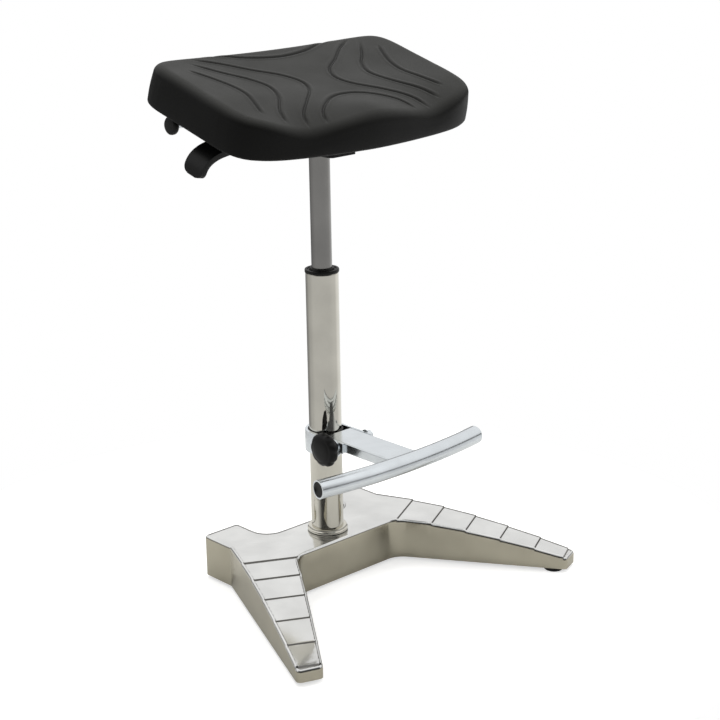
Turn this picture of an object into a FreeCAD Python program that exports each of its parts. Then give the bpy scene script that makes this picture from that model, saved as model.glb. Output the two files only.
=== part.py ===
import FreeCAD, Part

import math
import os

import Sketcher
from FreeCAD import Placement, Rotation, Vector

# A perch stool: a die-cast base with two stepped front legs, a polished column
# with a gas spring, a clamped footrest and a tilting foam seat.
# Millimetres. The floor is z = 0, the sitter faces -Y and the left hand is +X.
# The origin is the middle of the footprint, and the column stands column_y behind it.

SIZES = {
    "where the column stands": {
        "column_y": 65.8,
    },
    "base casting": {
        "base_gap": 5.0,
        "base_top": 64.0,
        "base_wall": 5.0,
        "base_crown": 8.0,
        "crossbar_front": 42.0,
        "crossbar_rear": 40.0,
        "heel_outer": 140.0,
        "heel_inner": 80.0,
        "heel_rear": 104.0,
        "leg_start": 46.0,
        "leg_root": 93.0,
        "tip_outer_x": 262.0,
        "tip_outer_y": 233.5,
        "tip_inner_x": 229.0,
        "tip_inner_y": 245.5,
        "tip_top": 23.0,
        "step_length": 49.0,
        "step_riser": 1.6,
        "leg_core": 24.0,
        "leg_solid": 40.0,
        "front_web": 30.0,
        "rear_web": 26.0,
        "casting_corner": 6.0,
        "hub_radius": 32.0,
        "rim_round": 1.6,
    },
    "glides": {
        "glide_radius": 14.0,
        "glide_stem": 4.0,
        "glide_stem_up": 12.0,
        "glide_front_x": 229.0,
        "glide_front_y": 222.0,
        "glide_rear_x": 111.0,
        "glide_rear_y": 80.0,
        "glide_boss": 9.0,
    },
    "column": {
        "column_radius": 22.5,
        "column_wall": 2.0,
        "column_foot": 8.0,
        "column_top": 437.0,
        "collar_radius": 28.4,
        "collar_rise": 7.0,
        "floor_bottom": 15.0,
        "floor_thick": 5.0,
        "bush_length": 66.0,
        "bush_flange": 4.6,
        "bush_flange_radius": 23.4,
        "bush_lip_radius": 16.5,
        "bush_lip": 2.0,
        "press_gap": 0.03,
        "running_gap": 0.06,
    },
    "gas spring": {
        "cylinder_radius": 14.0,
        "cylinder_wall": 2.0,
        "cylinder_foot": 200.0,
        "taper_start": 600.0,
        "taper_length": 30.0,
        "taper_drop": 0.8,
        "cylinder_cap": 3.5,
        "gland_length": 20.0,
        "valve_length": 22.0,
        "rod_radius": 5.0,
        "rod_foot": 9.0,
        "piston_height": 337.0,
        "piston_length": 14.0,
        "shoulder_radius": 9.0,
        "shoulder_length": 4.0,
        "washer_radius": 13.0,
        "washer_thick": 2.0,
        "ball_radius": 2.0,
        "ball_circle": 9.5,
        "ball_count": 10.0,
        "buffer_length": 12.0,
        "clip_radius": 8.5,
        "clip_thick": 1.6,
        "pin_radius": 2.5,
        "pin_rise": 6.0,
    },
    "tilt bracket": {
        "bracket_half": 23.0,
        "bracket_wall": 3.0,
        "bracket_front": 49.0,
        "bracket_rear": 76.0,
        "bracket_slope": 28.0,
        "ear_rise": 12.0,
        "bracket_shelf": 15.0,
        "hub_cone_radius": 18.0,
        "hub_cone_height": 32.0,
        "axle_y": 64.0,
        "axle_rise": 21.5,
        "axle_radius": 5.0,
        "axle_right": 38.0,
        "plate_gap": 1.5,
        "lever_notch": 12.0,
    },
    "height lever": {
        "lever_rise": 10.3,
        "lever_radius": 4.0,
        "lever_inner": 2.0,
        "lever_pivot": 15.0,
        "lever_pin_radius": 2.0,
        "lever_bend": 26.0,
        "lever_reach": 126.0,
        "lever_drop": 6.0,
        "lug_half": 10.0,
        "lug_slot": 5.5,
        "paddle_start": 108.0,
        "paddle_knee": 148.0,
        "paddle_end": 198.0,
        "paddle_width": 35.0,
        "paddle_fall": 28.0,
        "paddle_lip": 13.0,
        "paddle_thick": 6.0,
        "paddle_corner": 8.0,
    },
    "seat": {
        "seat_rise": 22.8,
        "seat_tilt": 15.8,
        "seat_half": 203.0,
        "seat_front": 115.0,
        "seat_rear": 119.0,
        "seat_thick": 46.0,
        "seat_dish": 9.0,
        "trough_depth": 13.0,
        "trough_offset": 112.0,
        "pommel_fall": 3.0,
        "seat_round": 14.0,
        "groove_width": 4.0,
        "groove_depth": 2.0,
        "insert_half": 160.0,
        "insert_front": 76.0,
        "insert_rear": 92.0,
        "insert_thick": 9.0,
        "insert_corner": 24.0,
        "soft_gap": 0.3,
        "plate_half": 62.0,
        "plate_front": 74.0,
        "plate_rear": 86.0,
        "plate_thick": 3.0,
        "plate_corner": 12.0,
        "flange_front": 36.0,
        "flange_rear": 80.0,
        "flange_drop": 32.0,
        "disc_radius": 11.0,
        "disc_thick": 2.2,
        "screw_x": 48.0,
        "screw_front": 60.0,
        "screw_rear": 72.0,
        "screw_radius": 3.0,
        "screw_head": 5.8,
        "screw_head_high": 3.5,
        "pad_stop_half": 12.0,
        "pad_stop_length": 11.0,
    },
    "tilt knob": {
        "knob_outer": 197.0,
        "knob_length": 10.0,
        "knob_radius": 13.0,
        "knob_dome": 3.0,
    },
    "footrest": {
        "strap_bottom": 184.0,
        "strap_high": 30.0,
        "strap_thick": 4.0,
        "strap_front": 66.0,
        "strap_nose": 14.0,
        "liner_thick": 2.0,
        "liner_short": 0.5,
        "liner_slit": 6.0,
        "arm_high": 14.0,
        "arm_wall": 2.0,
        "arm_rear": 26.0,
        "bar_half": 145.0,
        "bar_ends_y": 147.0,
        "bar_height": 203.6,
        "bar_radius": 12.5,
        "bar_wall": 2.0,
        "bar_bow": 12.0,
        "plug_inset": 2.0,
        "plug_depth": 14.0,
        "bolt_y": 50.0,
        "bolt_radius": 4.0,
        "bolt_left": 46.0,
        "bolt_right": 40.0,
        "bolt_gap": 0.2,
        "nut_width": 13.0,
        "nut_high": 7.0,
        "clamp_washer_radius": 9.0,
        "clamp_washer_thick": 1.6,
        "grip_radius": 23.5,
        "grip_length": 17.0,
        "grip_neck": 10.0,
        "grip_neck_long": 9.0,
        "grip_flutes": 9.0,
        "grip_flute_radius": 7.0,
        "grip_flute_in": 1.6,
    },
}

doc = FreeCAD.newDocument("perch_stool")
sizes = doc.addObject("Spreadsheet::Sheet", "sizes")


def fill_sheet():
    row = 1
    for section, values in SIZES.items():
        sizes.set("A%d" % row, section)
        row += 1
        for name, value in values.items():
            sizes.set("A%d" % row, name)
            sizes.set("B%d" % row, str(value))
            sizes.setAlias("B%d" % row, name)
            row += 1
    doc.recompute()


fill_sheet()


def size(name):
    return float(getattr(sizes, name))


def value_of(formula):
    result = sizes.evalExpression(in_sheet(formula))
    return float(getattr(result, "Value", result))


def in_sheet(formula):
    """The formula as the sheet itself reads it, without its own name in front."""
    return formula.replace("sizes.", "")


# Helpers for bodies, sketches and features


def new_body(label):
    body = doc.addObject("PartDesign::Body", label)
    body.Label = label
    return body


def place(thing, x="0", y="sizes.column_y", z="0", axis=None, angle=None):
    """Puts a sub-part at a place, and turns it about an axis, by formulas."""
    thing.Placement = Placement(Vector(), Rotation(axis or Vector(0, 0, 1), value_of(angle or "0")))
    for letter, formula in (("x", x), ("y", y), ("z", z)):
        thing.setExpression("Placement.Base." + letter, formula)
    if angle:
        thing.setExpression("Placement.Rotation.Angle", angle)
    return thing


def on_seat(thing):
    """Puts a sub-part in the frame of the tilted seat, whose z = 0 is the pad's underside."""
    return place(thing, z=SEAT_HEIGHT, axis=Vector(1, 0, 0), angle="sizes.seat_tilt")


def new_sketch(body, role, name, lift=None):
    sketch = body.newObject("Sketcher::SketchObject", name)
    plane = next(f for f in body.Origin.OriginFeatures if f.Role == role)
    sketch.AttachmentSupport = [(plane, "")]
    sketch.MapMode = "FlatFace"
    if lift:
        sketch.setExpression("AttachmentOffset.Base.z", lift)
    return sketch


def pin_point(sketch, geometry, end, x, y):
    """Fixes one end of a line, or a centre, at coordinates given as formulas."""
    for kind, axis, formula in (("DistanceX", -2, x), ("DistanceY", -1, y)):
        if abs(value_of(formula)) < 1e-9:
            sketch.addConstraint(Sketcher.Constraint("PointOnObject", geometry, end, axis))
            continue
        constraint = Sketcher.Constraint(kind, geometry, end, value_of(formula))
        index = sketch.addConstraint(constraint)
        sketch.setExpression("Constraints[%d]" % index, formula)


def add_outline(sketch, points):
    """A closed outline of straight lines, with every corner held by two formulas."""
    corners = [Vector(value_of(x), value_of(y), 0) for x, y in points]
    first = sketch.GeometryCount
    for here, there in zip(corners, corners[1:] + corners[:1]):
        sketch.addGeometry(Part.LineSegment(here, there), False)
    for number, (x, y) in enumerate(points):
        before = first + (number - 1) % len(points)
        sketch.addConstraint(Sketcher.Constraint("Coincident", before, 2, first + number, 1))
        pin_point(sketch, first + number, 1, x, y)
    return sketch


def add_circle(sketch, x, y, radius):
    circle = Part.Circle(Vector(value_of(x), value_of(y), 0), Vector(0, 0, 1), value_of(radius))
    number = sketch.addGeometry(circle, False)
    pin_point(sketch, number, 3, x, y)
    index = sketch.addConstraint(Sketcher.Constraint("Radius", number, value_of(radius)))
    sketch.setExpression("Constraints[%d]" % index, radius)
    return sketch


def extrude(body, kind, sketch, length, midplane=False, reverse=False):
    """A Pad or a Pocket of a sketch, as long as the formula says."""
    feature = body.newObject("PartDesign::" + kind, kind.lower())
    feature.Profile = sketch
    feature.setExpression("Length", length)
    if midplane:
        feature.SideType = "Symmetric"
    feature.Reversed = reverse
    doc.recompute()
    return feature


def revolve(body, kind, sketch, axis="V_Axis"):
    feature = body.newObject("PartDesign::" + kind, kind.lower())
    feature.Profile = sketch
    feature.ReferenceAxis = (sketch, [axis])
    feature.Angle = 360
    doc.recompute()
    return feature


def edges_where(shape, test):
    """The names of the edges whose middle point and direction pass a test."""
    names = []
    for number, edge in enumerate(shape.Edges, start=1):
        middle = edge.valueAt((edge.FirstParameter + edge.LastParameter) / 2)
        ends = [vertex.Point for vertex in edge.Vertexes]
        along = (ends[-1] - ends[0]) if len(ends) > 1 else Vector()
        if test(middle, along):
            names.append("Edge%d" % number)
    return names


def round_edges(body, names, radius, kind="Fillet"):
    """Rounds or bevels named edges of the body's last feature."""
    last = body.Tip
    feature = body.newObject("PartDesign::" + kind, kind.lower())
    feature.Base = (last, names)
    feature.setExpression("Radius" if kind == "Fillet" else "Size", radius)
    doc.recompute()
    return feature


def is_upright(along):
    return along.Length > 1e-6 and abs(along.z) > 0.999 * along.Length


def turned_ring(label, points, axis="V_Axis", role="XZ_Plane"):
    """A turned piece: a half profile of (radius, height) formulas spun round the axis."""
    body = new_body(label)
    profile = add_outline(new_sketch(body, role, label + "_profile"), points)
    revolve(body, "Revolution", profile, axis)
    return body


def cylinder(label, radius, height):
    piece = doc.addObject("Part::Cylinder", label)
    piece.Label = label
    piece.setExpression("Radius", radius)
    piece.setExpression("Height", height)
    return piece


def shape_feature(label, shape):
    piece = doc.addObject("Part::Feature", label)
    piece.Label = label
    piece.Shape = shape
    return piece


# Base casting


def mirrored(points):
    """An outline given for +X, from front to rear, closed over to -X."""
    return points + [("-(%s)" % x, y) for x, y in reversed(points)]


def base_outline():
    return mirrored([
        ("sizes.leg_root", "-sizes.crossbar_front"),
        ("sizes.tip_inner_x", "-sizes.tip_inner_y"),
        ("sizes.tip_outer_x", "-sizes.tip_outer_y"),
        ("sizes.heel_outer", "sizes.leg_start"),
        ("sizes.heel_outer", "sizes.heel_rear"),
        ("sizes.heel_inner", "sizes.heel_rear"),
        ("sizes.heel_inner", "sizes.crossbar_rear"),
    ])


OUTER_LEAN = "(sizes.tip_outer_x - sizes.heel_outer) / (sizes.tip_outer_y + sizes.leg_start)"


def hollow_outline():
    """The room under the crossbar and heels, one wall inside the outline."""
    front = "(sizes.crossbar_front - sizes.base_wall)"
    widest = "sizes.heel_outer + (%s + sizes.leg_start) * %s - 1.2 * sizes.base_wall" % (front, OUTER_LEAN)
    return mirrored([
        (widest, "-" + front),
        ("sizes.heel_outer - 1.1 * sizes.base_wall", "sizes.leg_start"),
        ("sizes.heel_outer - sizes.base_wall", "sizes.heel_rear - sizes.base_wall"),
        ("sizes.heel_inner + sizes.base_wall", "sizes.heel_rear - sizes.base_wall"),
        ("sizes.heel_inner + sizes.base_wall", "sizes.crossbar_rear - sizes.base_wall"),
    ])


LEG_TIP_X = "(sizes.tip_outer_x + sizes.tip_inner_x) / 2"
LEG_TIP_Y = "(sizes.tip_outer_y + sizes.tip_inner_y) / 2"
LEG_TURN = (
    "atan2(%s - (sizes.heel_outer + sizes.leg_root) / 2;"
    " %s + (sizes.leg_start - sizes.crossbar_front) / 2)" % (LEG_TIP_X, LEG_TIP_Y)
)
STEP_COUNT = 5
STEP_CURVE = 1.5


def leg_plane_sketch(body, name):
    """An upright sketch along the middle of the +X leg, from its tip inwards."""
    sketch = new_sketch(body, "YZ_Plane", name)
    sketch.AttachmentOffset = Placement(Vector(), Rotation(Vector(0, 1, 0), value_of(LEG_TURN)))
    sketch.setExpression("AttachmentOffset.Base.x", "-" + LEG_TIP_Y)
    sketch.setExpression("AttachmentOffset.Base.z", LEG_TIP_X)
    sketch.setExpression("AttachmentOffset.Rotation.Angle", LEG_TURN)
    return sketch


def step_height(number):
    share = 1 - (1 - number / STEP_COUNT) ** STEP_CURVE
    return "sizes.tip_top + (sizes.base_top - sizes.tip_top) * %.4f" % share


def step_outline():
    """What is cut off above the leg: five treads that rise towards the body."""
    above = "sizes.base_top + 20"
    points = [("-40", above), ("-40", step_height(0)), ("0", step_height(0))]
    for number in range(1, STEP_COUNT + 1):
        at = "%d * sizes.step_length" % number
        points.append(("%s - sizes.step_riser" % at, "%s - sizes.step_riser" % step_height(number)))
        points.append((at, step_height(number)))
    points.append(("%d * sizes.step_length" % STEP_COUNT, above))
    return points


def leg_core_outline():
    """The channel under the leg, which follows the treads from below."""
    floor = "sizes.base_gap - 1"
    under = "%s - sizes.step_riser - sizes.base_wall"
    return [
        ("sizes.leg_solid", floor),
        ("%d * sizes.step_length" % STEP_COUNT, floor),
        ("%d * sizes.step_length" % STEP_COUNT, "sizes.base_top - sizes.base_crown"),
        ("2 * sizes.step_length", under % step_height(2)),
        ("sizes.leg_solid", under % step_height(1)),
    ]


def add_leg_cut(body, sketch, width):
    """Cuts one leg, then the other by mirroring the cut."""
    cut = extrude(body, "Pocket", sketch, width, midplane=True)
    mirror = body.newObject("PartDesign::Mirrored", "mirrored_cut")
    mirror.Originals = [cut]
    mirror.MirrorPlane = (next(f for f in body.Origin.OriginFeatures if f.Role == "YZ_Plane"), [""])
    body.Tip = mirror
    doc.recompute()


def make_base_casting():
    body = new_body("base_casting")
    outline = add_outline(new_sketch(body, "XY_Plane", "base_outline", "sizes.base_gap"), base_outline())
    extrude(body, "Pad", outline, "sizes.base_top - sizes.base_gap")

    def corner(x, y, reach=4):
        return lambda middle, along: (
            is_upright(along) and abs(abs(middle.x) - x) < reach and abs(middle.y - y) < reach)

    front = edges_where(body.Tip.Shape, corner(size("leg_root"), -size("crossbar_front")))
    round_edges(body, front, "sizes.front_web")
    rear = edges_where(body.Tip.Shape, corner(size("heel_inner"), size("crossbar_rear")))
    round_edges(body, rear, "sizes.rear_web")
    shape = body.Tip.Shape
    outer = edges_where(shape, corner(size("heel_outer"), size("heel_rear")))
    outer += edges_where(shape, corner(size("heel_inner"), size("heel_rear")))
    outer += edges_where(shape, corner(size("tip_outer_x"), -size("tip_outer_y")))
    outer += edges_where(shape, corner(size("tip_inner_x"), -size("tip_inner_y")))
    round_edges(body, outer, "sizes.casting_corner")

    steps = add_outline(leg_plane_sketch(body, "leg_steps"), step_outline())
    add_leg_cut(body, steps, "6 * sizes.leg_core")

    rim = edges_where(body.Tip.Shape, lambda middle, along: (
        middle.z > size("tip_top") - 1 and not is_upright(along)
        and not crosses_leg(middle, along)))
    round_edges(body, rim, "sizes.rim_round")

    core = add_outline(leg_plane_sketch(body, "leg_core"), leg_core_outline())
    add_leg_cut(body, core, "sizes.leg_core")

    hollow = add_outline(new_sketch(body, "XY_Plane", "hollow", "sizes.base_gap"), hollow_outline())
    add_circle(hollow, "0", "0", "sizes.hub_radius")
    for side in ("", "-"):
        add_circle(hollow, side + "sizes.glide_rear_x", "sizes.glide_rear_y", "sizes.glide_boss")
    extrude(body, "Pocket", hollow, "sizes.base_top - sizes.base_gap - sizes.base_crown", reverse=True)

    holes = new_sketch(body, "XY_Plane", "stem_holes", "sizes.base_gap")
    for side in ("", "-"):
        for x, y in (("glide_front_x", "-sizes.glide_front_y"), ("glide_rear_x", "sizes.glide_rear_y")):
            add_circle(holes, side + "sizes." + x, y, "sizes.glide_stem + sizes.press_gap")
    extrude(body, "Pocket", holes, "sizes.glide_stem_up + 1", reverse=True)

    socket = new_sketch(body, "XY_Plane", "column_socket", "sizes.base_gap")
    add_circle(socket, "0", "0", "sizes.column_radius + sizes.press_gap")
    extrude(body, "Pocket", socket, "sizes.base_top", reverse=True)
    return place(body)


def crosses_leg(middle, along):
    """True for the tread edges, which run across a leg from side to side."""
    if along.Length < 1e-6:
        return True
    turn = math.radians(value_of(LEG_TURN))
    across = Vector(math.cos(turn), math.copysign(math.sin(turn), middle.x), 0)
    flat = Vector(along.x, along.y, 0)
    on_leg = middle.y < size("leg_start") - 10 and abs(middle.x) > size("leg_root") - 12
    return on_leg and flat.Length > 1e-6 and abs(flat.dot(across)) > 0.98 * flat.Length


def make_glides():
    """Four black plastic glides, each with a stem pressed into the casting."""
    places = {
        "glide_front_left": ("sizes.glide_front_x", "-sizes.glide_front_y"),
        "glide_front_right": ("-sizes.glide_front_x", "-sizes.glide_front_y"),
        "glide_rear_left": ("sizes.glide_rear_x", "sizes.glide_rear_y"),
        "glide_rear_right": ("-sizes.glide_rear_x", "sizes.glide_rear_y"),
    }
    made = []
    for label, (x, y) in places.items():
        glide = turned_ring(label, [
            ("0", "0"),
            ("sizes.glide_radius - 1.5", "0"),
            ("sizes.glide_radius", "1.5"),
            ("sizes.glide_radius", "sizes.base_gap - 1"),
            ("sizes.glide_radius - 1", "sizes.base_gap"),
            ("sizes.glide_stem", "sizes.base_gap"),
            ("sizes.glide_stem", "sizes.base_gap + sizes.glide_stem_up"),
            ("0", "sizes.base_gap + sizes.glide_stem_up"),
        ])
        made.append(place(glide, x=x, y="sizes.column_y + (%s)" % y))
    return made


# Column and gas spring


COLUMN_INNER = "(sizes.column_radius - sizes.column_wall)"
CYLINDER_INNER = "(sizes.cylinder_radius - sizes.cylinder_wall)"
BEARING_FLOOR = "(sizes.floor_bottom + sizes.floor_thick)"
SHOULDER = "(%s + 2 * sizes.washer_thick + 2 * sizes.ball_radius + sizes.running_gap)" % BEARING_FLOOR
CYLINDER_TOP = "(sizes.taper_start + sizes.taper_length)"
LEVER_HEIGHT = "(%s + sizes.lever_rise)" % CYLINDER_TOP
SEAT_HEIGHT = "(%s + sizes.seat_rise)" % CYLINDER_TOP
AXLE_HEIGHT = "(%s + sizes.axle_rise)" % CYLINDER_TOP
EAR_TOP = "(%s + sizes.ear_rise)" % AXLE_HEIGHT


def plain_ring(label, inner, outer, bottom, top):
    points = [(inner, bottom), (outer, bottom), (outer, top), (inner, top)]
    return place(turned_ring(label, points))


def make_column():
    tube = plain_ring("outer_column", COLUMN_INNER, "sizes.column_radius", "sizes.column_foot", "sizes.column_top")
    bore = "sizes.column_radius + sizes.press_gap"
    rise = "sizes.collar_rise"
    collar = place(turned_ring("column_collar", [
        (bore, "sizes.base_top"),
        ("sizes.collar_radius - 0.8", "sizes.base_top"),
        ("sizes.collar_radius", "sizes.base_top + 0.25 * " + rise),
        ("sizes.collar_radius", "sizes.base_top + 0.45 * " + rise),
        ("sizes.collar_radius - 2.4", "sizes.base_top + 0.5 * " + rise),
        ("sizes.collar_radius - 1.4", "sizes.base_top + 0.65 * " + rise),
        ("sizes.collar_radius - 1.4", "sizes.base_top + 0.85 * " + rise),
        ("sizes.collar_radius - 3", "sizes.base_top + " + rise),
        (bore, "sizes.base_top + " + rise),
    ]))
    floor = plain_ring(
        "column_floor", "sizes.rod_radius + sizes.running_gap", COLUMN_INNER + " - sizes.press_gap",
        "sizes.floor_bottom", BEARING_FLOOR)
    bush_bore = "sizes.cylinder_radius + sizes.running_gap"
    bush = place(turned_ring("guide_bush", [
        (bush_bore, "sizes.column_top - sizes.bush_length"),
        (COLUMN_INNER + " - sizes.press_gap", "sizes.column_top - sizes.bush_length"),
        (COLUMN_INNER + " - sizes.press_gap", "sizes.column_top"),
        ("sizes.bush_flange_radius", "sizes.column_top"),
        ("sizes.bush_flange_radius", "sizes.column_top + sizes.bush_flange - 1"),
        ("sizes.bush_flange_radius - 1", "sizes.column_top + sizes.bush_flange"),
        ("sizes.bush_flange_radius - 3.4", "sizes.column_top + sizes.bush_flange"),
        ("sizes.bush_flange_radius - 3.8", "sizes.column_top + sizes.bush_flange - 1.2"),
        ("sizes.bush_lip_radius + 0.4", "sizes.column_top + sizes.bush_flange - 1.2"),
        ("sizes.bush_lip_radius", "sizes.column_top + sizes.bush_flange + sizes.bush_lip"),
        (bush_bore, "sizes.column_top + sizes.bush_flange + sizes.bush_lip"),
    ]))
    return [tube, collar, floor, bush]


def make_gas_spring():
    cylinder_tube = place(turned_ring("gas_cylinder", [
        (CYLINDER_INNER, "sizes.cylinder_foot"),
        ("sizes.cylinder_radius", "sizes.cylinder_foot"),
        ("sizes.cylinder_radius", "sizes.taper_start"),
        ("sizes.cylinder_radius - sizes.taper_drop", CYLINDER_TOP),
        ("sizes.pin_radius + sizes.running_gap", CYLINDER_TOP),
        ("sizes.pin_radius + sizes.running_gap", CYLINDER_TOP + " - sizes.cylinder_cap"),
        (CYLINDER_INNER + " - sizes.taper_drop", CYLINDER_TOP + " - sizes.cylinder_cap"),
        (CYLINDER_INNER + " - sizes.taper_drop", "sizes.taper_start"),
        (CYLINDER_INNER, "sizes.taper_start - 4"),
    ]))
    gland = plain_ring(
        "cylinder_gland", "sizes.rod_radius + sizes.running_gap", CYLINDER_INNER + " - sizes.press_gap",
        "sizes.cylinder_foot", "sizes.cylinder_foot + sizes.gland_length")
    valve = plain_ring(
        "valve_body", "sizes.pin_radius + sizes.running_gap",
        CYLINDER_INNER + " - sizes.taper_drop - sizes.press_gap",
        CYLINDER_TOP + " - sizes.cylinder_cap - sizes.valve_length", CYLINDER_TOP + " - sizes.cylinder_cap")
    pin = place(turned_ring("release_pin", [
        ("0", CYLINDER_TOP + " - sizes.cylinder_cap - sizes.valve_length + 2"),
        ("sizes.pin_radius", CYLINDER_TOP + " - sizes.cylinder_cap - sizes.valve_length + 2"),
        ("sizes.pin_radius", CYLINDER_TOP + " + sizes.pin_rise - 0.6"),
        ("sizes.pin_radius - 0.6", CYLINDER_TOP + " + sizes.pin_rise"),
        ("0", CYLINDER_TOP + " + sizes.pin_rise"),
    ]))
    groove = "(sizes.floor_bottom - sizes.clip_thick - 0.2)"
    rod = place(turned_ring("piston_rod", [
        ("0", "sizes.rod_foot"),
        ("sizes.rod_radius", "sizes.rod_foot"),
        ("sizes.rod_radius", groove),
        ("sizes.rod_radius - 1", groove),
        ("sizes.rod_radius - 1", groove + " + sizes.clip_thick"),
        ("sizes.rod_radius", groove + " + sizes.clip_thick"),
        ("sizes.rod_radius", SHOULDER),
        ("sizes.shoulder_radius", SHOULDER),
        ("sizes.shoulder_radius", SHOULDER + " + sizes.shoulder_length"),
        ("sizes.rod_radius", SHOULDER + " + sizes.shoulder_length"),
        ("sizes.rod_radius", "sizes.piston_height"),
        ("sizes.rod_radius - 1.5", "sizes.piston_height"),
        ("sizes.rod_radius - 1.5", "sizes.piston_height + sizes.piston_length"),
        ("0", "sizes.piston_height + sizes.piston_length"),
    ]))
    clip = plain_ring("retaining_clip", "sizes.rod_radius - 1", "sizes.clip_radius", groove, groove + " + sizes.clip_thick")
    piston = plain_ring(
        "piston", "sizes.rod_radius - 1.5", CYLINDER_INNER + " - sizes.running_gap",
        "sizes.piston_height", "sizes.piston_height + sizes.piston_length")
    lower = plain_ring(
        "thrust_washer_lower", "sizes.rod_radius + 0.5", "sizes.washer_radius",
        BEARING_FLOOR, BEARING_FLOOR + " + sizes.washer_thick")
    upper = plain_ring(
        "thrust_washer_upper", "sizes.rod_radius", "sizes.washer_radius",
        SHOULDER + " - sizes.washer_thick", SHOULDER)
    buffer_ring = plain_ring(
        "rubber_buffer", "sizes.rod_radius", "sizes.washer_radius",
        SHOULDER + " + sizes.shoulder_length", SHOULDER + " + sizes.shoulder_length + sizes.buffer_length")
    return [cylinder_tube, gland, valve, pin, rod, clip, piston, lower, upper, buffer_ring, make_balls()]


def make_balls():
    """The ring of balls in the thrust bearing, each a small barrel between the washers."""
    height = value_of(BEARING_FLOOR + " + sizes.washer_thick")
    radius = size("ball_radius")
    count = int(round(size("ball_count")))
    balls = []
    for number in range(count):
        angle = 2 * math.pi * number / count
        centre = Vector(math.cos(angle), math.sin(angle), 0) * size("ball_circle")
        ball = Part.makeCylinder(radius, 2 * radius, centre + Vector(0, 0, height))
        rims = [edge for edge in ball.Edges if edge.Closed]
        balls.append(ball.makeChamfer(0.4 * radius, rims))
    return place(shape_feature("bearing_balls", Part.makeCompound(balls)))


# Tilt bracket and height lever


PLATE_UNDER = "(" + SEAT_HEIGHT + " + (%s) * tan(sizes.seat_tilt) - sizes.plate_thick / cos(sizes.seat_tilt))"
BRACKET_BOTTOM = "sizes.taper_start"


def bracket_top(y):
    return (PLATE_UNDER % y) + " - sizes.plate_gap"


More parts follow.
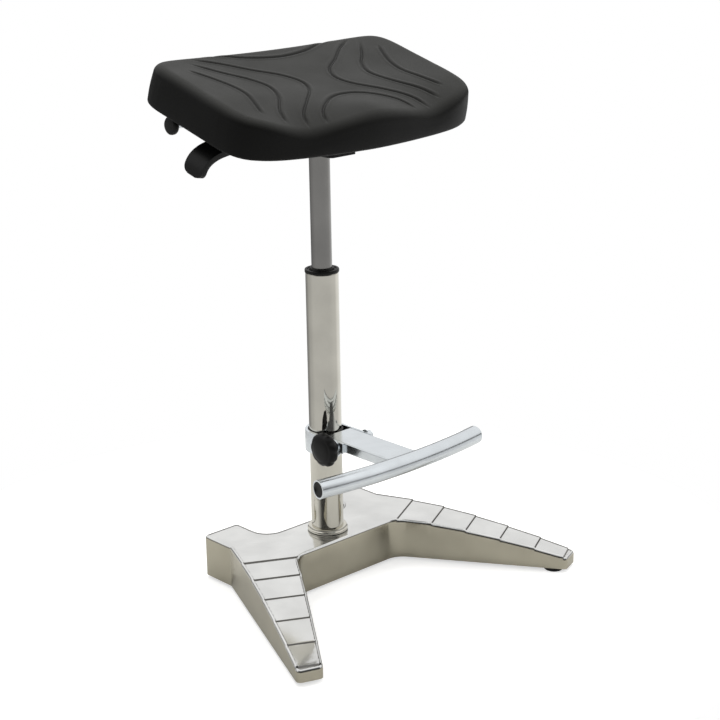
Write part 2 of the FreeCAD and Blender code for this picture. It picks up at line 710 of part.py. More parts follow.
def make_bracket():
    body = new_body("tilt_bracket")
    front = "-sizes.bracket_front"
    ear_start = "sizes.axle_y - 12"
    outline = add_outline(new_sketch(body, "YZ_Plane", "side_outline"), [
        (front, BRACKET_BOTTOM),
        ("sizes.bracket_rear - sizes.bracket_slope", BRACKET_BOTTOM),
        ("sizes.bracket_rear", BRACKET_BOTTOM + " + sizes.bracket_slope"),
        ("sizes.bracket_rear", EAR_TOP),
        (ear_start, EAR_TOP),
        (ear_start + " - 3", bracket_top(ear_start + " - 3") + " - 1"),
        (front, bracket_top(front)),
    ])
    extrude(body, "Pad", outline, "2 * sizes.bracket_half", midplane=True)
    corners = edges_where(body.Tip.Shape, lambda middle, along: (
        is_upright(along) and middle.y < 0))
    round_edges(body, corners, "2 * sizes.bracket_wall")
    wall = "sizes.bracket_wall"
    inside = add_outline(new_sketch(body, "YZ_Plane", "inside"), [
        ("%s + %s" % (front, wall), "%s + %s" % (BRACKET_BOTTOM, wall)),
        ("sizes.bracket_rear - sizes.bracket_slope - 0.4 * " + wall, "%s + %s" % (BRACKET_BOTTOM, wall)),
        ("sizes.bracket_rear - " + wall, BRACKET_BOTTOM + " + sizes.bracket_slope + 0.4 * " + wall),
        ("sizes.bracket_rear - " + wall, EAR_TOP + " + 40"),
        ("%s + sizes.bracket_shelf" % front, EAR_TOP + " + 40"),
        ("%s + sizes.bracket_shelf" % front, BRACKET_BOTTOM + " + sizes.taper_length"),
        ("%s + %s" % (front, wall), BRACKET_BOTTOM + " + sizes.taper_length"),
    ])
    extrude(body, "Pocket", inside, "2 * (sizes.bracket_half - %s)" % wall, midplane=True)
    cone = add_outline(new_sketch(body, "XZ_Plane", "cone_hub"), [
        ("0", BRACKET_BOTTOM),
        ("sizes.hub_cone_radius", BRACKET_BOTTOM),
        ("sizes.hub_cone_radius", BRACKET_BOTTOM + " + sizes.hub_cone_height"),
        ("0", BRACKET_BOTTOM + " + sizes.hub_cone_height"),
    ])
    revolve(body, "Revolution", cone)
    lug = add_outline(new_sketch(body, "XZ_Plane", "lever_lugs"), [
        ("-sizes.lever_pivot - 4", BRACKET_BOTTOM + " + sizes.hub_cone_height - 4"),
        ("-sizes.lever_pivot + 4", BRACKET_BOTTOM + " + sizes.hub_cone_height - 4"),
        ("-sizes.lever_pivot + 4", LEVER_HEIGHT + " + 4"),
        ("-sizes.lever_pivot - 4", LEVER_HEIGHT + " + 4"),
    ])
    extrude(body, "Pad", lug, "2 * sizes.lug_half", midplane=True)
    slot = add_outline(new_sketch(body, "XZ_Plane", "lever_slot"), [
        ("-sizes.bracket_half - 1", BRACKET_BOTTOM + " + sizes.hub_cone_height"),
        ("sizes.lever_inner + 6", BRACKET_BOTTOM + " + sizes.hub_cone_height"),
        ("sizes.lever_inner + 6", EAR_TOP),
        ("-sizes.bracket_half - 1", EAR_TOP),
    ])
    extrude(body, "Pocket", slot, "2 * sizes.lug_slot", midplane=True)
    taper = add_outline(new_sketch(body, "XZ_Plane", "taper_bore"), [
        ("0", BRACKET_BOTTOM),
        ("sizes.cylinder_radius + sizes.press_gap", BRACKET_BOTTOM),
        ("sizes.cylinder_radius + sizes.press_gap - sizes.taper_drop", CYLINDER_TOP),
        ("sizes.cylinder_radius + sizes.press_gap - sizes.taper_drop", CYLINDER_TOP + " + 10"),
        ("0", CYLINDER_TOP + " + 10"),
    ])
    revolve(body, "Groove", taper)
    pivot = add_circle(
        new_sketch(body, "XZ_Plane", "pivot_hole"),
        "-sizes.lever_pivot", LEVER_HEIGHT, "sizes.lever_pin_radius + sizes.press_gap")
    extrude(body, "Pocket", pivot, "2 * sizes.lug_half + 2", midplane=True)
    axle = add_circle(
        new_sketch(body, "YZ_Plane", "axle_hole"),
        "sizes.axle_y", AXLE_HEIGHT, "sizes.axle_radius + sizes.running_gap")
    extrude(body, "Pocket", axle, "2 * sizes.bracket_half + 2", midplane=True)
    return place(body)


def make_lever():
    """The bent steel rod, its pivot pin and the plastic paddle at its outer end."""
    fall = "(sizes.lever_reach - sizes.lever_bend) * tan(sizes.lever_drop)"
    path = [
        Vector(size("lever_inner"), 0, 0),
        Vector(-size("lever_bend"), 0, 0),
        Vector(-size("lever_reach"), 0, -value_of(fall)),
    ]
    half_turn = math.radians(size("lever_drop")) / 2
    tangent = 20 * math.tan(half_turn)
    before = path[1] + (path[0] - path[1]).normalize() * tangent
    after = path[1] + (path[2] - path[1]).normalize() * tangent
    middle = path[1] + Vector(0, 0, -20 * (1 / math.cos(half_turn) - 1))
    wire = Part.Wire([
        Part.LineSegment(path[0], before).toShape(),
        Part.Arc(before, middle, after).toShape(),
        Part.LineSegment(after, path[2]).toShape(),
    ])
    circle = Part.Wire(Part.makeCircle(size("lever_radius"), path[0], Vector(1, 0, 0)))
    rod = wire.makePipeShell([circle], True, False)
    tilt = math.radians(size("seat_tilt"))
    level = Vector(0, math.cos(tilt), -math.sin(tilt))
    hole = Part.makeCylinder(
        size("lever_pin_radius") + size("running_gap"), 40,
        Vector(-size("lever_pivot"), 0, 0) - level * 20, level)
    shaft = shape_feature("lever_shaft", rod.cut(hole))
    place(shaft, z=LEVER_HEIGHT, axis=Vector(1, 0, 0), angle="sizes.seat_tilt")

    pin = cylinder("lever_pivot_pin", "sizes.lever_pin_radius", "2 * sizes.lug_half")
    place(
        pin, x="-sizes.lever_pivot", y="sizes.column_y + sizes.lug_half", z=LEVER_HEIGHT,
        axis=Vector(1, 0, 0), angle="90")

    body = new_body("lever_paddle")
    rod_start = "(-(sizes.paddle_start - sizes.lever_bend) * tan(sizes.lever_drop))"
    knee = "(-(sizes.paddle_knee - sizes.lever_bend) * tan(sizes.lever_drop))"
    thick = "sizes.paddle_thick"
    profile = add_outline(new_sketch(body, "XZ_Plane", "paddle_side"), [
        ("-sizes.paddle_start", rod_start + " + " + thick),
        ("-sizes.paddle_knee", knee + " + 0.7 * " + thick),
        ("-sizes.paddle_end + 2", knee + " - sizes.paddle_fall + 4"),
        ("-sizes.paddle_end", knee + " - sizes.paddle_fall"),
        ("-sizes.paddle_end - 2", knee + " - sizes.paddle_fall - sizes.paddle_lip"),
        ("-sizes.paddle_end + 2", knee + " - sizes.paddle_fall - sizes.paddle_lip"),
        ("-sizes.paddle_end + 6", knee + " - sizes.paddle_fall - 1.2 * " + thick),
        ("-sizes.paddle_knee + 3", knee + " - " + thick),
        ("-sizes.paddle_start", rod_start + " - " + thick),
    ])
    extrude(body, "Pad", profile, "sizes.paddle_width", midplane=True)
    tip = edges_where(body.Tip.Shape, lambda middle, along: (
        abs(along.y) < 0.01 and middle.x < -size("paddle_end") + 1 and abs(middle.y) > 5
        and abs(along.z) > 6))
    round_edges(body, tip, "sizes.paddle_corner * 0.45")
    before = body.Tip.Shape.Volume
    bore = new_sketch(body, "YZ_Plane", "rod_bore", "-sizes.lever_reach - 0.8")
    add_circle(
        bore, "0", "-(sizes.lever_reach + 0.8 - sizes.lever_bend) * tan(sizes.lever_drop)",
        "sizes.lever_radius + sizes.press_gap")
    drill = extrude(body, "Pocket", bore, "sizes.lever_reach")
    drill.UseCustomVector = True
    drill.Direction = Vector(1, 0, math.tan(math.radians(size("lever_drop"))))
    doc.recompute()
    if body.Tip.Shape.Volume > before - 700:
        raise RuntimeError("the paddle's bore cuts nothing")
    place(body, z=LEVER_HEIGHT, axis=Vector(1, 0, 0), angle="sizes.seat_tilt")
    return [shaft, pin, body]


# Seat


def front_of(x):
    """How far forward the pad reaches at a distance x from its middle."""
    half = size("seat_half")
    share = min(abs(x) / half, 1)
    return size("seat_front") - 12 * share ** 2 - 42 * share ** 14


def rear_of(x):
    share = min(abs(x) / size("seat_half"), 1)
    return size("seat_rear") - 3 * share ** 2 - 12 * share ** 30


def height_of(x, y):
    """The top of the pad above its underside: a dish with two thigh troughs at the front."""
    side = abs(x) / size("seat_half")
    dish = size("seat_thick") - size("seat_dish") * (1 - side ** 2) * (1 - (y / 110) ** 4 / 2)
    forward = max(0, -y / size("seat_front"))
    trough = math.exp(-((abs(x) - size("trough_offset")) / 52) ** 2)
    pommel = size("pommel_fall") * math.exp(-(x / 40) ** 2)
    return dish - forward ** 2 * (size("trough_depth") * trough - size("seat_dish") + pommel)


def pad_section(x, inset, low, high):
    """One upright section of the pad, from front to rear, at a distance x from the middle."""
    front = -front_of(x) + inset
    rear = rear_of(x) - inset
    edge = min(size("seat_round"), 0.55 * (min(height_of(x, 0), high) - low))
    lower = 0.35 * edge
    span = rear - front

    def at(y, z):
        return Vector(x, y, z)

    front_top = front + edge
    rear_top = rear - 0.8 * edge
    top_front = min(height_of(x, front_top), high)
    top_rear = min(height_of(x, rear_top), high)
    top_middle = min(height_of(x, (front_top + rear_top) / 2), high - 0.4)
    points = [
        (at(front + lower, low), at(front + 0.3 * lower, low + 0.3 * lower), at(front, low + lower)),
        (at(front, low + lower), at(front - 0.006 * span, (low + top_front) / 2), at(front + 1, top_front - 0.8 * edge)),
        (at(front + 1, top_front - 0.8 * edge), at(front + 0.33 * edge, top_front - 0.26 * edge), at(front_top, top_front)),
        (at(front_top, top_front), at((front_top + rear_top) / 2, top_middle), at(rear_top, top_rear)),
        (at(rear_top, top_rear), at(rear - 0.25 * edge, top_rear - 0.24 * edge), at(rear - 0.5, top_rear - 0.8 * edge)),
        (at(rear - 0.5, top_rear - 0.8 * edge), at(rear, (low + top_rear) / 2), at(rear, low + lower)),
        (at(rear, low + lower), at(rear - 0.3 * lower, low + 0.3 * lower), at(rear - lower, low)),
    ]
    edges = [Part.Arc(*three).toShape() for three in points]
    edges.append(Part.LineSegment(points[-1][2], points[0][0]).toShape())
    return Part.Wire(edges)


def make_pad_blank():
    """The foam body as a loft through upright sections, drawn in towards both sides."""
    half = size("seat_half")
    thick = size("seat_thick")
    sides = [
        (half, 14, 0.22 * thick, 0.66 * thick),
        (half - 1.5, 8, 0.12 * thick, 0.82 * thick),
        (half - 6, 3, 0.04 * thick, 0.94 * thick),
        (half - 16, 0, 0, thick),
    ]
    stations = [(-x, inset, low, high) for x, inset, low, high in sides]
    for share in (-0.8, -0.67, -0.55, -0.4, -0.25, -0.1, 0.1, 0.25, 0.4, 0.55, 0.67, 0.8):
        stations.append((share * half, 0, 0, 2 * thick))
    stations += list(reversed(sides))
    return Part.makeLoft([pad_section(*station) for station in stations], True, True)


def groove_curves():
    """The four fans of pressed lines on the seat, as (x, y) points in the seat's frame."""
    rear = [[(-118, 96), (-60, 80), (0, 72), (60, 80), (118, 96)]]
    front = [[(-72, -84), (-38, -52), (0, -40), (38, -52), (72, -84)]]
    side = [
        [(136, 90), (72, 52), (34, 10), (40, -22), (70, -60), (104, -88)],
        [(152, 76), (104, 42), (84, 8), (92, -30), (118, -74)],
        [(164, 62), (142, 34), (134, 4), (138, -24), (152, -56)],
    ]
    mirrored_side = [[(-x, y) for x, y in curve] for curve in side]
    return rear + front + side + mirrored_side


def make_groove_tool(blank):
    """Narrow curved prisms, cut back to a layer as deep as the grooves."""
    lowered = blank.copy()
    lowered.translate(Vector(0, 0, -size("groove_depth")))
    half = size("groove_width") / 2
    prisms = []
    for curve in groove_curves():
        spline = Part.BSplineCurve()
        spline.interpolate([Vector(x, y, 0) for x, y in curve])
        left, right = [], []
        first, last = spline.FirstParameter, spline.LastParameter
        count = 2 * len(curve)
        for number in range(count + 1):
            at = first + (last - first) * number / count
            across = spline.tangent(at)[0].cross(Vector(0, 0, 1))
            taper = half * (0.35 + 0.65 * math.sin(math.pi * number / count))
            left.append(spline.value(at) + across * taper)
            right.append(spline.value(at) - across * taper)
        sides = []
        for points in (left, list(reversed(right))):
            side = Part.BSplineCurve()
            side.interpolate(points)
            sides.append(side.toShape())
        ends = [
            Part.LineSegment(left[-1], right[-1]).toShape(),
            Part.LineSegment(right[0], left[0]).toShape(),
        ]
        outline = Part.Wire([sides[0], ends[0], sides[1], ends[1]])
        prism = Part.Face(outline).extrude(Vector(0, 0, 2 * size("seat_thick")))
        prisms.append(prism.translated(Vector(0, 0, size("seat_thick") / 3)))
    return [prism.cut(lowered) for prism in prisms]


def make_seat():
    blank = make_pad_blank()
    gap = size("soft_gap")
    recess = rounded_board(
        size("insert_half") + gap, size("insert_front") + gap, size("insert_rear") + gap,
        size("insert_corner") + gap, -5, size("insert_thick") + gap)
    pad_shape = blank.cut(recess)
    for tool in make_groove_tool(blank):
        pad_shape = pad_shape.cut(tool)
    pad = on_seat(shape_feature("seat_pad", pad_shape))

    board = rounded_board(
        size("insert_half"), size("insert_front"), size("insert_rear"),
        size("insert_corner"), 0, size("insert_thick"))
    for spot in screw_spots():
        board = board.cut(Part.makeCylinder(
            size("screw_radius") + size("press_gap"), size("insert_thick") - 1, spot))
    insert = on_seat(shape_feature("seat_insert", board))

    screws = on_seat(shape_feature("seat_screws", Part.makeCompound([make_screw(s) for s in screw_spots()])))
    return [pad, insert, screws]


def rounded_board(half, front, rear, corner, low, high):
    """A flat board with rounded corners, in the seat's frame."""
    board = Part.makeBox(2 * half, front + rear, high - low, Vector(-half, -front, low))
    upright = [edge for edge in board.Edges if abs(edge.Vertexes[0].Z - edge.Vertexes[-1].Z) > 1e-3]
    return board.makeFillet(corner, upright)


def screw_spots():
    return [
        Vector(x, y, 0)
        for x in (-size("screw_x"), size("screw_x"))
        for y in (-size("screw_front"), size("screw_rear"))
    ]


def make_screw(spot):
    """A pan-head screw that holds the plate to the board, with a hexagon socket."""
    under = spot - Vector(0, 0, size("plate_thick"))
    shank = Part.makeCylinder(
        size("screw_radius"), size("plate_thick") + size("insert_thick") - 1.5, under)
    head = Part.makeCylinder(
        size("screw_head"), size("screw_head_high"), under, Vector(0, 0, -1))
    socket = hexagon(1.15 * size("screw_radius"), 2)
    socket.Placement = Placement(under - Vector(0, 0, size("screw_head_high")), Rotation())
    return shank.fuse(head).cut(socket)


def hexagon(apothem, height):
    reach = apothem / math.cos(math.pi / 6)
    points = [
        Vector(reach * math.cos(math.pi * number / 3), reach * math.sin(math.pi * number / 3), 0)
        for number in range(7)
    ]
    return Part.Face(Part.makePolygon(points)).extrude(Vector(0, 0, height))


AXLE_IN_SEAT_Y = (
    "(sizes.axle_y * cos(sizes.seat_tilt)"
    " + (sizes.axle_rise - sizes.seat_rise) * sin(sizes.seat_tilt))"
)
AXLE_IN_SEAT_Z = (
    "((sizes.axle_rise - sizes.seat_rise) * cos(sizes.seat_tilt)"
    " - sizes.axle_y * sin(sizes.seat_tilt))"
)
DISC_INNER = "(sizes.bracket_half + sizes.running_gap)"
FLANGE_INNER = "(%s + sizes.disc_thick + sizes.running_gap)" % DISC_INNER


def make_seat_plate():
    """The pressed plate under the seat, with two flanges that hang on the tilt axle."""
    body = new_body("seat_plate")
    plate = add_outline(new_sketch(body, "XY_Plane", "plate_outline"), mirrored([
        ("sizes.plate_half", "-sizes.plate_front"),
        ("sizes.plate_half", "sizes.plate_rear"),
    ]))
    extrude(body, "Pad", plate, "sizes.plate_thick", reverse=True)
    corners = edges_where(body.Tip.Shape, lambda middle, along: is_upright(along))
    round_edges(body, corners, "sizes.plate_corner")
    for side in ("", "-"):
        inner = side + FLANGE_INNER
        outer = side + "(%s + sizes.plate_thick)" % FLANGE_INNER
        flange = add_outline(new_sketch(body, "XY_Plane", "flange", "-sizes.plate_thick"), [
            (inner, "sizes.flange_front"),
            (outer, "sizes.flange_front"),
            (outer, "sizes.flange_rear"),
            (inner, "sizes.flange_rear"),
        ])
        extrude(body, "Pad", flange, "sizes.flange_drop - sizes.plate_thick", reverse=True)
    ends = edges_where(body.Tip.Shape, lambda middle, along: (
        abs(middle.z + size("flange_drop")) < 0.1 and abs(along.x) > 1 and abs(along.y) < 0.1))
    round_edges(body, ends, "sizes.plate_corner")
    holes = new_sketch(body, "XY_Plane", "screw_holes")
    for side in ("", "-"):
        for y in ("-sizes.screw_front", "sizes.screw_rear"):
            add_circle(holes, side + "sizes.screw_x", y, "sizes.screw_radius + sizes.bolt_gap")
    extrude(body, "Pocket", holes, "sizes.plate_thick")
    axle = add_circle(
        new_sketch(body, "YZ_Plane", "axle_holes"),
        AXLE_IN_SEAT_Y, AXLE_IN_SEAT_Z, "sizes.axle_radius + sizes.running_gap")
    extrude(body, "Pocket", axle, "4 * sizes.bracket_half", midplane=True)
    return on_seat(body)


def make_stop_pad():
    """The thin rubber pad that the plate rests with on the bracket's front edge."""
    pad = doc.addObject("Part::Box", "stop_pad")
    pad.Label = "stop_pad"
    pad.setExpression("Length", "2 * sizes.pad_stop_half")
    pad.setExpression("Width", "sizes.pad_stop_length")
    pad.setExpression("Height", "sizes.plate_gap - 0.3")
    low = "(sizes.plate_thick + sizes.plate_gap - 0.3)"
    back = "(sizes.bracket_front / cos(sizes.seat_tilt))"
    return place(
        pad, x="-sizes.pad_stop_half",
        y="sizes.column_y - %s * cos(sizes.seat_tilt) + %s * sin(sizes.seat_tilt)" % (back, low),
        z=(SEAT_HEIGHT + " - %s * sin(sizes.seat_tilt) - %s * cos(sizes.seat_tilt)") % (back, low),
        axis=Vector(1, 0, 0), angle="sizes.seat_tilt")


def make_friction_discs():
    discs = []
    for side in (1, -1):
        start = value_of(DISC_INNER) if side > 0 else -value_of(DISC_INNER)
        base = Vector(start, size("axle_y"), value_of(AXLE_HEIGHT))
        disc = Part.makeCylinder(size("disc_radius"), size("disc_thick"), base, Vector(side, 0, 0))
        hole = Part.makeCylinder(
            size("axle_radius") + size("running_gap"), size("disc_thick"), base, Vector(side, 0, 0))
        discs.append(disc.cut(hole))
    return place(shape_feature("friction_discs", Part.makeCompound(discs)))


def on_axle(thing, x):
    """Lays a piece along the tilt axle, with its own z axis towards the knob."""
    return place(
        thing, x=x, y="sizes.column_y + sizes.axle_y", z=AXLE_HEIGHT,
        axis=Vector(0, 1, 0), angle="-90")


def make_tilt_axle():
    length = "(sizes.knob_outer - 4 + sizes.axle_right)"
    rod = on_axle(cylinder("tilt_axle", "sizes.axle_radius", length), "sizes.axle_right")
    knob = turned_ring("tilt_knob", [
        ("0", "sizes.knob_length"),
        ("0", "sizes.knob_length - 4 + sizes.press_gap"),
        ("sizes.axle_radius + sizes.press_gap", "sizes.knob_length - 4 + sizes.press_gap"),
        ("sizes.axle_radius + sizes.press_gap", "0"),
        ("sizes.knob_radius - 3", "0"),
        ("sizes.knob_radius - 0.6", "2"),
        ("sizes.knob_radius", "sizes.knob_length / 2"),
        ("sizes.knob_radius - 1.5", "sizes.knob_length - 3"),
        ("sizes.knob_radius - sizes.knob_dome", "sizes.knob_length"),
    ])
    on_axle(knob, "-(sizes.knob_outer - sizes.knob_length)")
    nut_shape = hexagon(8, 7).cut(Part.makeCylinder(size("axle_radius") + size("running_gap"), 7))
    nut = doc.addObject("Part::Feature", "axle_nut")
    nut.Label = "axle_nut"
    nut.Shape = nut_shape
    on_axle(nut, "%s + sizes.plate_thick + 7" % FLANGE_INNER)
    return [rod, knob, nut]


# Footrest


STRAP_INNER = "(sizes.column_radius + sizes.liner_thick + 2 * sizes.running_gap)"
STRAP_OUTER = "(%s + sizes.strap_thick)" % STRAP_INNER
BOLT_HEIGHT = "(sizes.strap_bottom + sizes.strap_high - sizes.arm_high / 2)"
BAR_RADIUS = "((sizes.bar_half * sizes.bar_half + sizes.bar_bow * sizes.bar_bow) / (2 * sizes.bar_bow))"


def make_liner():
    """The split plastic sleeve that slides on the column and carries the strap."""
    body = turned_ring("column_liner", [
        ("sizes.column_radius + sizes.running_gap", "sizes.strap_bottom + sizes.liner_short"),
        ("sizes.column_radius + sizes.running_gap + sizes.liner_thick", "sizes.strap_bottom + sizes.liner_short"),
        ("sizes.column_radius + sizes.running_gap + sizes.liner_thick",
         "sizes.strap_bottom + sizes.strap_high - sizes.liner_short"),
        ("sizes.column_radius + sizes.running_gap", "sizes.strap_bottom + sizes.strap_high - sizes.liner_short"),
    ])
    slit = add_outline(new_sketch(body, "XY_Plane", "slit", "sizes.strap_bottom - 10"), mirrored([
        ("sizes.liner_slit / 2", "-" + STRAP_OUTER),
        ("sizes.liner_slit / 2", "0"),
    ]))
    extrude(body, "Pocket", slit, "sizes.strap_high + 20", reverse=True)
    return place(body)


def make_strap():
    """A flat bar bent round the back of the column, with two cheeks along the arm."""
    body = new_body("footrest_strap")
    block = new_sketch(body, "XY_Plane", "strap_block", "sizes.strap_bottom")
    add_outline(block, mirrored([(STRAP_OUTER, "-sizes.strap_front"), (STRAP_OUTER, "0")]))
    extrude(body, "Pad", block, "sizes.strap_high")
    wrap = new_sketch(body, "XY_Plane", "strap_wrap", "sizes.strap_bottom")
    add_circle(wrap, "0", "0", STRAP_OUTER)
    extrude(body, "Pad", wrap, "sizes.strap_high")
    bore = new_sketch(body, "XY_Plane", "strap_bore", "sizes.strap_bottom")
    add_circle(bore, "0", "0", STRAP_INNER)
    extrude(body, "Pocket", bore, "sizes.strap_high", reverse=True)
    gap = new_sketch(body, "XY_Plane", "strap_gap", "sizes.strap_bottom")
    add_outline(gap, mirrored([(STRAP_INNER, "-sizes.strap_front - 1"), (STRAP_INNER, "0")]))
    extrude(body, "Pocket", gap, "sizes.strap_high", reverse=True)
    nose = add_outline(new_sketch(body, "YZ_Plane", "nose_cut"), [
        ("-sizes.strap_front - 1", "sizes.strap_bottom - 1"),
        ("-sizes.strap_front + 22", "sizes.strap_bottom - 1"),
        ("-sizes.strap_front + 22", "sizes.strap_bottom"),
        ("-sizes.strap_front + 4", "sizes.strap_bottom + sizes.strap_high - sizes.strap_nose"),
        ("-sizes.strap_front - 1", "sizes.strap_bottom + sizes.strap_high - sizes.strap_nose"),
    ])
    extrude(body, "Pocket", nose, "4 * " + STRAP_OUTER, midplane=True)
    bolt = add_circle(
        new_sketch(body, "YZ_Plane", "bolt_holes"),
        "-sizes.bolt_y", BOLT_HEIGHT, "sizes.bolt_radius + sizes.bolt_gap")
    extrude(body, "Pocket", bolt, "4 * " + STRAP_OUTER, midplane=True)
    return place(body)


def bar_torus(label, radius):
    """A bent round bar as a slice of a torus, bowed forwards in plan."""
    spread = "asin(sizes.bar_half / %s)" % BAR_RADIUS
    torus = doc.addObject("Part::Torus", label)
    torus.setExpression("Radius1", BAR_RADIUS)
    torus.setExpression("Radius2", radius)
    torus.setExpression("Angle3", "2 * " + spread)
    place(
        torus, y="sizes.column_y - sizes.bar_ends_y - sizes.bar_bow + " + BAR_RADIUS,
        z="sizes.bar_height", angle="270 deg - " + spread)
    return torus


def cut_of(label, base, tool):
    cut = doc.addObject("Part::Cut", label)
    cut.Label = label
    cut.Base = base
    cut.Tool = tool
    return cut


def make_bar():
    bar = cut_of(
        "footrest_bar", bar_torus("bar_outside", "sizes.bar_radius"),
        bar_torus("bar_inside", "sizes.bar_radius - sizes.bar_wall"))
    made = [bar]
    spread = "asin(sizes.bar_half / %s)" % BAR_RADIUS
    for label, side, turn in (("bar_plug_left", "", 1), ("bar_plug_right", "-", -1)):
        plug = turned_ring(label, [
            ("0", "-sizes.plug_depth"),
            ("sizes.bar_radius - sizes.bar_wall - 0.8", "-sizes.plug_depth"),
            ("sizes.bar_radius - sizes.bar_wall - 0.1", "-sizes.plug_depth + 1"),
            ("sizes.bar_radius - sizes.bar_wall - 0.1", "-sizes.plug_inset"),
            ("0", "-sizes.plug_inset"),
        ])
        plug.Placement = Placement(
            Vector(), Rotation(Vector(0, 0, 1), turn * value_of(spread))
            * Rotation(Vector(0, 1, 0), turn * 90))
        plug.setExpression("Placement.Base.x", side + "sizes.bar_half")
        plug.setExpression("Placement.Base.y", "sizes.column_y - sizes.bar_ends_y")
        plug.setExpression("Placement.Base.z", "sizes.bar_height")
        made.append(plug)
    return made


def make_arm():
    """The flat rectangular tube from the strap to the bar, coped to the bar's round."""
    body = new_body("arm_tube")
    low = "sizes.strap_bottom + sizes.strap_high - sizes.arm_high"
    outside = new_sketch(body, "XY_Plane", "arm_outline", low)
    add_outline(outside, mirrored([
        (STRAP_INNER, "-sizes.bar_ends_y - sizes.bar_bow"), (STRAP_INNER, "-sizes.arm_rear")]))
    extrude(body, "Pad", outside, "sizes.arm_high")
    long_edges = edges_where(body.Tip.Shape, lambda middle, along: abs(along.y) > 50)
    round_edges(body, long_edges, "sizes.arm_wall")
    inside = new_sketch(body, "XY_Plane", "arm_inside", low + " + sizes.arm_wall")
    half = STRAP_INNER + " - sizes.arm_wall"
    add_outline(inside, mirrored([
        (half, "-sizes.bar_ends_y - sizes.bar_bow - 1"), (half, "-sizes.arm_rear - sizes.arm_wall")]))
    extrude(body, "Pocket", inside, "sizes.arm_high - 2 * sizes.arm_wall", reverse=True)
    bolt = add_circle(
        new_sketch(body, "YZ_Plane", "arm_bolt"),
        "-sizes.bolt_y", BOLT_HEIGHT, "sizes.bolt_radius + sizes.bolt_gap")
    extrude(body, "Pocket", bolt, "4 * " + STRAP_OUTER, midplane=True)
    place(body)
    return cut_of("footrest_arm", body, bar_torus("bar_cope", "sizes.bar_radius"))


def on_bolt(thing, x):
    """Lays a piece along the clamp bolt, with its own z axis towards the grip."""
    return place(
        thing, x=x, y="sizes.column_y - sizes.bolt_y", z=BOLT_HEIGHT,
        axis=Vector(0, 1, 0), angle="-90")


def make_clamp():
    bolt = on_bolt(cylinder("clamp_bolt", "sizes.bolt_radius", "sizes.bolt_left + sizes.bolt_right"),
                   "sizes.bolt_right")
    reach = value_of(STRAP_OUTER)
    washer_thick = size("clamp_washer_thick")
    washers = []
    for start in (reach, -reach - washer_thick):
        ring = Part.makeCylinder(size("clamp_washer_radius"), washer_thick)
        hole = Part.makeCylinder(size("bolt_radius") + size("bolt_gap"), washer_thick)
        washer = ring.cut(hole)
        washer.Placement = Placement(Vector(0, 0, -start - washer_thick), Rotation())
        washers.append(washer)
    washer_pair = on_bolt(shape_feature("clamp_washers", Part.makeCompound(washers)), "0")
    nut_shape = hexagon(size("nut_width") / 2, size("nut_high")).cut(
        Part.makeCylinder(size("bolt_radius"), size("nut_high")))
    nut = on_bolt(shape_feature("clamp_nut", nut_shape),
                  "%s + sizes.clamp_washer_thick + sizes.nut_high" % STRAP_OUTER)
    return [bolt, washer_pair, nut, make_grip()]


def make_grip():
    """The fluted hand grip on the clamp bolt."""
    body = turned_ring("clamp_grip", [
        ("0", "sizes.grip_neck_long + sizes.grip_length"),
        ("0", "sizes.grip_neck_long + sizes.grip_length - 6"),
        ("sizes.bolt_radius + sizes.press_gap", "sizes.grip_neck_long + sizes.grip_length - 6"),
        ("sizes.bolt_radius + sizes.press_gap", "0"),
        ("sizes.grip_neck", "0"),
        ("sizes.grip_neck + 1.5", "0.7 * sizes.grip_neck_long"),
        ("sizes.grip_radius - 6", "sizes.grip_neck_long + 1"),
        ("sizes.grip_radius", "sizes.grip_neck_long + 6"),
        ("sizes.grip_radius", "sizes.grip_neck_long + 10"),
        ("sizes.grip_radius - 2.5", "sizes.grip_neck_long + sizes.grip_length - 3"),
        ("0.6 * sizes.grip_radius", "sizes.grip_neck_long + sizes.grip_length"),
    ])
    flute = add_circle(
        new_sketch(body, "XY_Plane", "flute", "sizes.grip_neck_long - 2"),
        "sizes.grip_radius + sizes.grip_flute_radius - sizes.grip_flute_in", "0",
        "sizes.grip_flute_radius")
    cut = extrude(body, "Pocket", flute, "sizes.grip_length + 4", reverse=True)
    pattern = body.newObject("PartDesign::PolarPattern", "flutes")
    pattern.Originals = [cut]
    pattern.Axis = (next(f for f in body.Origin.OriginFeatures if f.Role == "Z_Axis"), [""])
    pattern.Angle = 360
    pattern.setExpression("Occurrences", "sizes.grip_flutes")
    body.Tip = pattern
    doc.recompute()
    return on_bolt(body, "-(%s + sizes.clamp_washer_thick + sizes.running_gap)" % STRAP_OUTER)


# Build, check and write


def check(things):
    for thing in doc.Objects:
        if "Invalid" in thing.State or "Error" in thing.State:
            raise RuntimeError("%s did not compute: %s" % (thing.Name, thing.State))
    for thing in things:
        if thing.Shape.isNull() or not thing.Shape.isValid() or not thing.Shape.Solids:
            raise RuntimeError("%s has no valid solid" % thing.Label)


def write(things):
    os.makedirs("parts", exist_ok=True)
    for thing in things:
        thing.Shape.exportStep("parts/%s.step" % thing.Label)
        box = thing.Shape.BoundBox
        print("%-20s solids %2d  volume %10.0f  y %7.1f %7.1f  z %6.1f %6.1f" % (
            thing.Label, len(thing.Shape.Solids), thing.Shape.Volume,
            box.YMin, box.YMax, box.ZMin, box.ZMax))


def main():
    things = [make_base_casting()]
    things += make_glides()
    things += make_column()
    things += make_gas_spring()
    things.append(make_bracket())
    things += make_lever()
    things += make_seat()
    things += [make_seat_plate(), make_stop_pad(), make_friction_discs()]
    things += make_tilt_axle()
    things += [make_liner(), make_strap(), make_arm()]
    things += make_bar()
    things += make_clamp()
    doc.recompute()
    check(things)
    write(things)


main()
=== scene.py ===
# %% [markdown]
# A perch stool, dressed for its picture.
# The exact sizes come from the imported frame, which is loaded first and never changed.
# Each step below shapes one piece, or mixes one finish, and says why it is made that way.

import math

